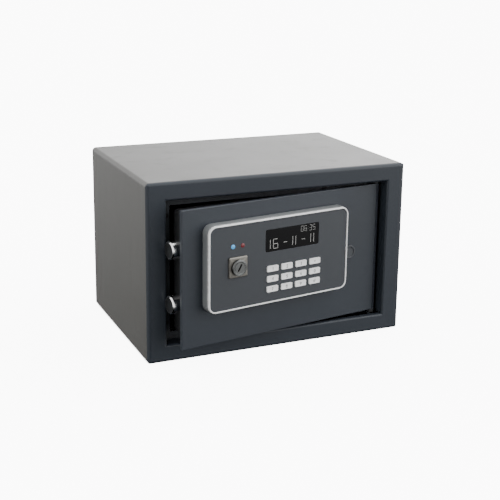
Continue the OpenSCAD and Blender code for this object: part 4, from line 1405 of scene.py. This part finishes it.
class SAFE_OT_cover(BuildSafe, bpy.types.Operator):
    """Inner cover, its posts, the battery lid and the reset button"""

    bl_idname = "safe.cover"
    bl_label = "Inner cover"

    def execute(self, context):
        w = works()
        eased_node("inner_cover", w.cover_ease * 0.5)
        eased_node("cover_posts", w.small_ease)
        self.lid()
        self.button()
        eased_node("reset_switch", w.small_ease)
        return {"FINISHED"}

    def lid(self):
        """The hinged lid, with a finger grip of fine ribs near its latch."""
        eased_node("battery_door", 0.3 * MM)
        lo, hi = closed_box("battery_door")
        bm = bmesh.new()
        for i in range(5):
            centre = Vector((lo.x + 6 * MM + i * 2.2 * MM, hi.y - 1.5 * MM, middle((lo, hi)).z))
            outline = ring_outline(1.0 * MM, 22 * MM, 0.45 * MM, 4)
            small = ring_outline(0.5 * MM, 21.5 * MM, 0.22 * MM, 4)
            loft(bm, [(outline, -0.1 * MM), (outline, 0.3 * MM), (small, 0.6 * MM)], centre)
        add_piece("battery_door_grip", bm, "battery_lid", FINISHES["cover_plastic"]())

    def button(self):
        """Round button with a dished face."""
        lo, hi = closed_box("reset_button")
        centre = middle((lo, hi))
        face = hi.y - centre.y
        bm = bmesh.new()
        r = 3.7 * MM
        inner = solids("reset_button")[0][0].y - centre.y
        collar_back = inner + 3.1 * MM + 1.4 * MM
        profile = [
            (0, face - 0.35 * MM), (r * 0.45, face - 0.28 * MM),
            (r * 0.78, face - 0.08 * MM), (r - 0.45 * MM, face),
            (r - 0.15 * MM, face - 0.12 * MM), (r, face - 0.45 * MM), (r, collar_back), (5 * MM, collar_back),
            (5 * MM, collar_back - 1.4 * MM), (2 * MM, collar_back - 1.4 * MM), (2 * MM, inner + 0.3 * MM),
            (1.7 * MM, inner), (0, inner),
        ]  # fmt: skip
        turned(bm, profile, centre, steps=48)
        finish = FINISHES["button_plastic"]()
        add_piece("reset_button_made", bm, "reset", finish, ["reset_button"])


class SAFE_OT_batteries(BuildSafe, bpy.types.Operator):
    """Four cells in their holder, with plates and wound springs"""

    bl_idname = "safe.batteries"
    bl_label = "Batteries"

    def execute(self, context):
        eased_node("battery_holder", 0.3 * MM)
        cells = solids("batteries")
        contacts = sorted(solids("battery_contacts"), key=lambda b: b[1].x - b[0].x)
        plates, springs = contacts[:4], contacts[4:]
        for i, (lo, hi) in enumerate(cells):
            self.cell(i, lo, hi)
        metal = FINISHES["contact_nickel"]()
        bm = bmesh.new()
        for lo, hi in plates:
            self.plate(bm, middle((lo, hi)), hi.x - lo.x, hi.z - lo.z)
        add_piece("contact_plates", bm, "door", metal, ["battery_contacts"])
        for i, (lo, hi) in enumerate(springs):
            self.spring(i, lo, hi, metal, cells)
        return {"FINISHED"}

    def plate(self, bm, centre, thick, side):
        edge = ring_outline(side, side, 0.6 * MM, 4)
        flat = ring_outline(side - 0.2 * MM, side - 0.2 * MM, 0.5 * MM, 4)
        t = thick / 2
        rings = [(flat, -t), (edge, -t + 0.1 * MM), (edge, t - 0.1 * MM), (flat, t)]
        loft(bm, rings, centre, along="X")

    def nub_side(self, lo, hi):
        """Which end of a cell carries its nub: 1 for +X. Neighbours alternate, the lowest first."""
        index = [round(b[0].z, 4) for b in solids("batteries")].index(round(lo.z, 4))
        return 1 if index % 2 == 0 else -1

    def cell(self, i, lo, hi):
        """A wrapped cell: crimped shoulders, a nub at one end and a flat at the other."""
        centre = middle((lo, hi))
        r, half = (hi.z - lo.z) / 2, (hi.x - lo.x) / 2
        side = self.nub_side(lo, hi)
        nub = 1.2 * MM
        profile = [
            (0, half), (2.4 * MM, half), (2.7 * MM, half - 0.3 * MM), (2.7 * MM, half - nub),
            (4.6 * MM, half - nub), (4.9 * MM, half - nub - 0.25 * MM), (5.6 * MM, half - nub - 0.25 * MM),
            (r - 0.5 * MM, half - nub), (r - 0.1 * MM, half - nub - 0.35 * MM), (r, half - nub - 1.0 * MM),
            (r, -half + 0.9 * MM), (r - 0.3 * MM, -half + 0.2 * MM),
            (r - 0.9 * MM, -half), (r - 1.3 * MM, -half + 0.2 * MM),
            (0, -half + 0.2 * MM),
        ]  # fmt: skip
        bm = bmesh.new()
        turned(bm, [(a, d * side) for a, d in profile], centre, "X")
        near, far = ((0.018, 0.02, 0.024), (0.5, 0.3, 0.1))
        if side < 0:
            near, far = far, near
        split = centre.x + side * (half - 14 * MM)
        finish = once(
            "cell_wrap_a" if side > 0 else "cell_wrap_b",
            lambda n: cell_label(n, split, near, far),
        )
        add_piece(f"battery_{i + 1}", bm, "door", finish, ["batteries"])

    def spring(self, i, lo, hi, metal, cells):
        """A wound spring that narrows from its plate to the cell."""
        centre = middle((lo, hi))
        cell = min(cells, key=lambda c: abs(middle(c).z - centre.z))
        side = 1 if middle(cell).x > centre.x else -1
        foot = lo.x if side > 0 else hi.x
        length = hi.x - lo.x
        plate_t = 0.5 * MM
        bm = bmesh.new()
        self.plate(bm, Vector((foot + side * plate_t / 2, centre.y, centre.z)), plate_t, hi.z - lo.z)
        add_piece(f"contact_back_{i + 1}", bm, "door", metal)
        wire = 0.28 * MM
        turns, steps = 3.5, 110
        points = []
        for s in range(steps + 1):
            t = s / steps
            a = math.tau * turns * t
            radius = (4.6 - 1.9 * t) * MM
            rise = plate_t + wire + (length - plate_t - 2.4 * wire) * min(1.0, max(0.0, (t - 0.06) / 0.88))
            ring = (centre.y + radius * math.cos(a), centre.z + radius * math.sin(a))
            points.append((foot + side * rise, *ring))
        lay_tube(f"contact_spring_{i + 1}", points, wire, "door", metal)


SHANK_R = {
    "cover_screws": 1.9 * MM,
    "housing_screws": 1.4 * MM,
    "board_screws": 1.2 * MM,
    "bolt_screws": 2.4 * MM,
}


class SAFE_OT_screws(BuildSafe, bpy.types.Operator):
    """Every screw, with a cross recess in its head"""

    bl_idname = "safe.screws"
    bl_label = "Screws"

    def execute(self, context):
        for node, along, sign, head_r, head_t in (
            ("cover_screws", "Y", 1, 3.8, 2.0),
            ("housing_screws", "Y", 1, 3.4, 2.0),
            ("board_screws", "Y", -1, 2.2, 1.4),
            ("bolt_screws", "X", 1, 4.0, 3.0),
        ):
            self.screws(node, along, sign, head_r * MM, head_t * MM)
        return {"FINISHED"}

    def screws(self, node, along, sign, head_r, head_t):
        """Pan heads towards sign, shanks with turned thread, then the cross recess cut in."""
        axis = 1 if along == "Y" else 0
        bm, cutters = bmesh.new(), bmesh.new()
        for lo, hi in solids(node):
            centre = middle((lo, hi))
            half = (hi[axis] - lo[axis]) / 2
            shank_r = SHANK_R[node]
            dome = [
                (0, half), (head_r * 0.45, half - head_t * 0.02), (head_r * 0.75, half - head_t * 0.14),
                (head_r * 0.93, half - head_t * 0.38), (head_r, half - head_t * 0.68),
                (head_r, half - head_t),
                (shank_r, half - head_t),
            ]  # fmt: skip
            pitch = shank_r * 0.42
            run = 2 * half - head_t
            turns = max(2, int((run - pitch) / pitch))
            for t in range(turns):
                y = half - head_t - 0.3 * pitch - t * pitch
                dome += [(shank_r * 0.86, y - 0.5 * pitch), (shank_r, y - 0.95 * pitch)]
            dome += [(shank_r * 0.7, -half), (0, -half)]
            turned(bm, [(r, d * sign) for r, d in dome], centre, along, 40)
            arm, thin, deep = head_r * 0.62, head_r * 0.2, head_t * 0.62
            cross = [
                (thin, thin), (thin, arm), (-thin, arm), (-thin, thin), (-arm, thin), (-arm, -thin),
                (-thin, -thin), (-thin, -arm), (thin, -arm), (thin, -thin), (arm, -thin), (arm, thin),
            ]  # fmt: skip
            floor = [(u * 0.45, v * 0.45) for u, v in cross]
            rings = [
                (cross, sign * (half + 0.5 * MM)),
                (cross, sign * (half - 0.05 * MM)),
                (floor, sign * (half - deep)),
            ]
            loft(cutters, rings, centre, along=along)
        body = body_of(node)
        piece = add_piece(f"{node}_made", bm, body, FINISHES["zinc_screw"](), [node])
        cut_with(piece, cutters)


class SAFE_OT_stage(BuildSafe, bpy.types.Operator):
    """Pale floor, soft lights and the camera"""

    bl_idname = "safe.stage"
    bl_label = "Stage"

    def execute(self, context):
        g = context.scene.safe_stage
        bm = bmesh.new()
        bmesh.ops.create_grid(bm, x_segments=8, y_segments=8, size=g.floor_size / 2)
        mesh = bpy.data.meshes.new("studio_floor")
        bm.to_mesh(mesh)
        bm.free()
        tone = (g.floor_tone,) * 3
        mesh.materials.append(once("studio_floor", lambda n: studio_floor(n, tone, g.floor_glow)))
        floor = bpy.data.objects.new("studio_floor", mesh)
        floor.location.z = -0.0002
        floor.visible_glossy = False
        floor.visible_diffuse = False
        context.scene.collection.objects.link(floor)
        self.room(g)
        self.softbox("top_softbox", (0.2, 0.3, 1.6), (0.0, 0.05, 0.1), 1.6, g.top_power)
        self.camera(g)
        return {"FINISHED"}

    def room(self, g):
        """Soft walls: dim in front, brighter to the right, behind and above."""
        world = context_world()
        tree = world.node_tree
        room = Walls(tree)
        x, y, z = room.directions()
        tone = g.front_tone + x.between(0.1, 0.7) * g.right_tone + y.between(0.1, 0.9) * g.back_tone
        tone = tone + (1 - x.between(-0.9, -0.3)) * g.left_tone
        tone = tone * (1 - g.low_dark + z.between(-0.45, 0.1) * g.low_dark)
        room.light(tone)

    def softbox(self, name, place, aim, size, power):
        data = bpy.data.lights.new(name, "AREA")
        data.shape, data.size, data.energy = "SQUARE", size, power
        light = bpy.data.objects.new(name, data)
        light.location = place
        light.rotation_mode = "QUATERNION"
        light.rotation_quaternion = (Vector(aim) - Vector(place)).to_track_quat("-Z", "Y")
        bpy.context.scene.collection.objects.link(light)

    def camera(self, g):
        data = bpy.data.cameras.new("camera")
        data.lens, data.sensor_width, data.shift_y = g.focal, 36.0, g.shift
        data.clip_start, data.clip_end = 0.01, 200
        camera = bpy.data.objects.new("camera", data)
        bpy.context.scene.collection.objects.link(camera)
        a, p, q = g.azimuth, g.pitch, g.roll
        ahead = Vector((math.sin(a) * math.cos(p), math.cos(a) * math.cos(p), -math.sin(p)))
        level = Vector((math.cos(a), -math.sin(a), 0))
        above = level.cross(ahead)
        right = level * math.cos(q) + above * math.sin(q)
        up = above * math.cos(q) - level * math.sin(q)
        turn = Matrix((right, up, -ahead)).transposed().to_4x4()
        camera.matrix_world = Matrix.Translation(Vector(g.place)) @ turn
        bpy.context.scene.camera = camera


class SAFE_PT_panel(bpy.types.Panel):
    """Building steps and settings of the safe"""

    bl_idname = "SAFE_PT_panel"
    bl_label = "In-room safe"
    bl_space_type = "VIEW_3D"
    bl_region_type = "UI"
    bl_category = "Safe"

    def draw(self, context):
        for settings in ("safe_steel", "safe_keypad", "safe_works", "safe_stage"):
            group = getattr(context.scene, settings)
            box = self.layout.box()
            for key in group.__annotations__:
                box.prop(group, key)
        for operator in BUILD_ORDER:
            self.layout.operator(operator.bl_idname)


SETTINGS = {
    "safe_steel": SafeSteelSettings,
    "safe_keypad": SafeKeypadSettings,
    "safe_works": SafeWorksSettings,
    "safe_stage": SafeStageSettings,
}
BUILD_ORDER = (
    SAFE_OT_cabinet,
    SAFE_OT_fittings,
    SAFE_OT_door,
    SAFE_OT_housing,
    SAFE_OT_display,
    SAFE_OT_keys,
    SAFE_OT_lights,
    SAFE_OT_lock,
    SAFE_OT_boltwork,
    SAFE_OT_drive,
    SAFE_OT_board,
    SAFE_OT_cover,
    SAFE_OT_batteries,
    SAFE_OT_screws,
    SAFE_OT_stage,
)
CLASSES = (*SETTINGS.values(), *BUILD_ORDER, SAFE_PT_panel)


def register():
    for cls in CLASSES:
        bpy.utils.register_class(cls)
    for name, cls in SETTINGS.items():
        setattr(bpy.types.Scene, name, PointerProperty(type=cls))


def unregister():
    for name in SETTINGS:
        delattr(bpy.types.Scene, name)
    for cls in reversed(CLASSES):
        bpy.utils.unregister_class(cls)


def main():
    register()
    for operator in BUILD_ORDER:
        group, step = operator.bl_idname.split(".")
        getattr(getattr(bpy.ops, group), step)()


if __name__ == "__main__":
    main()
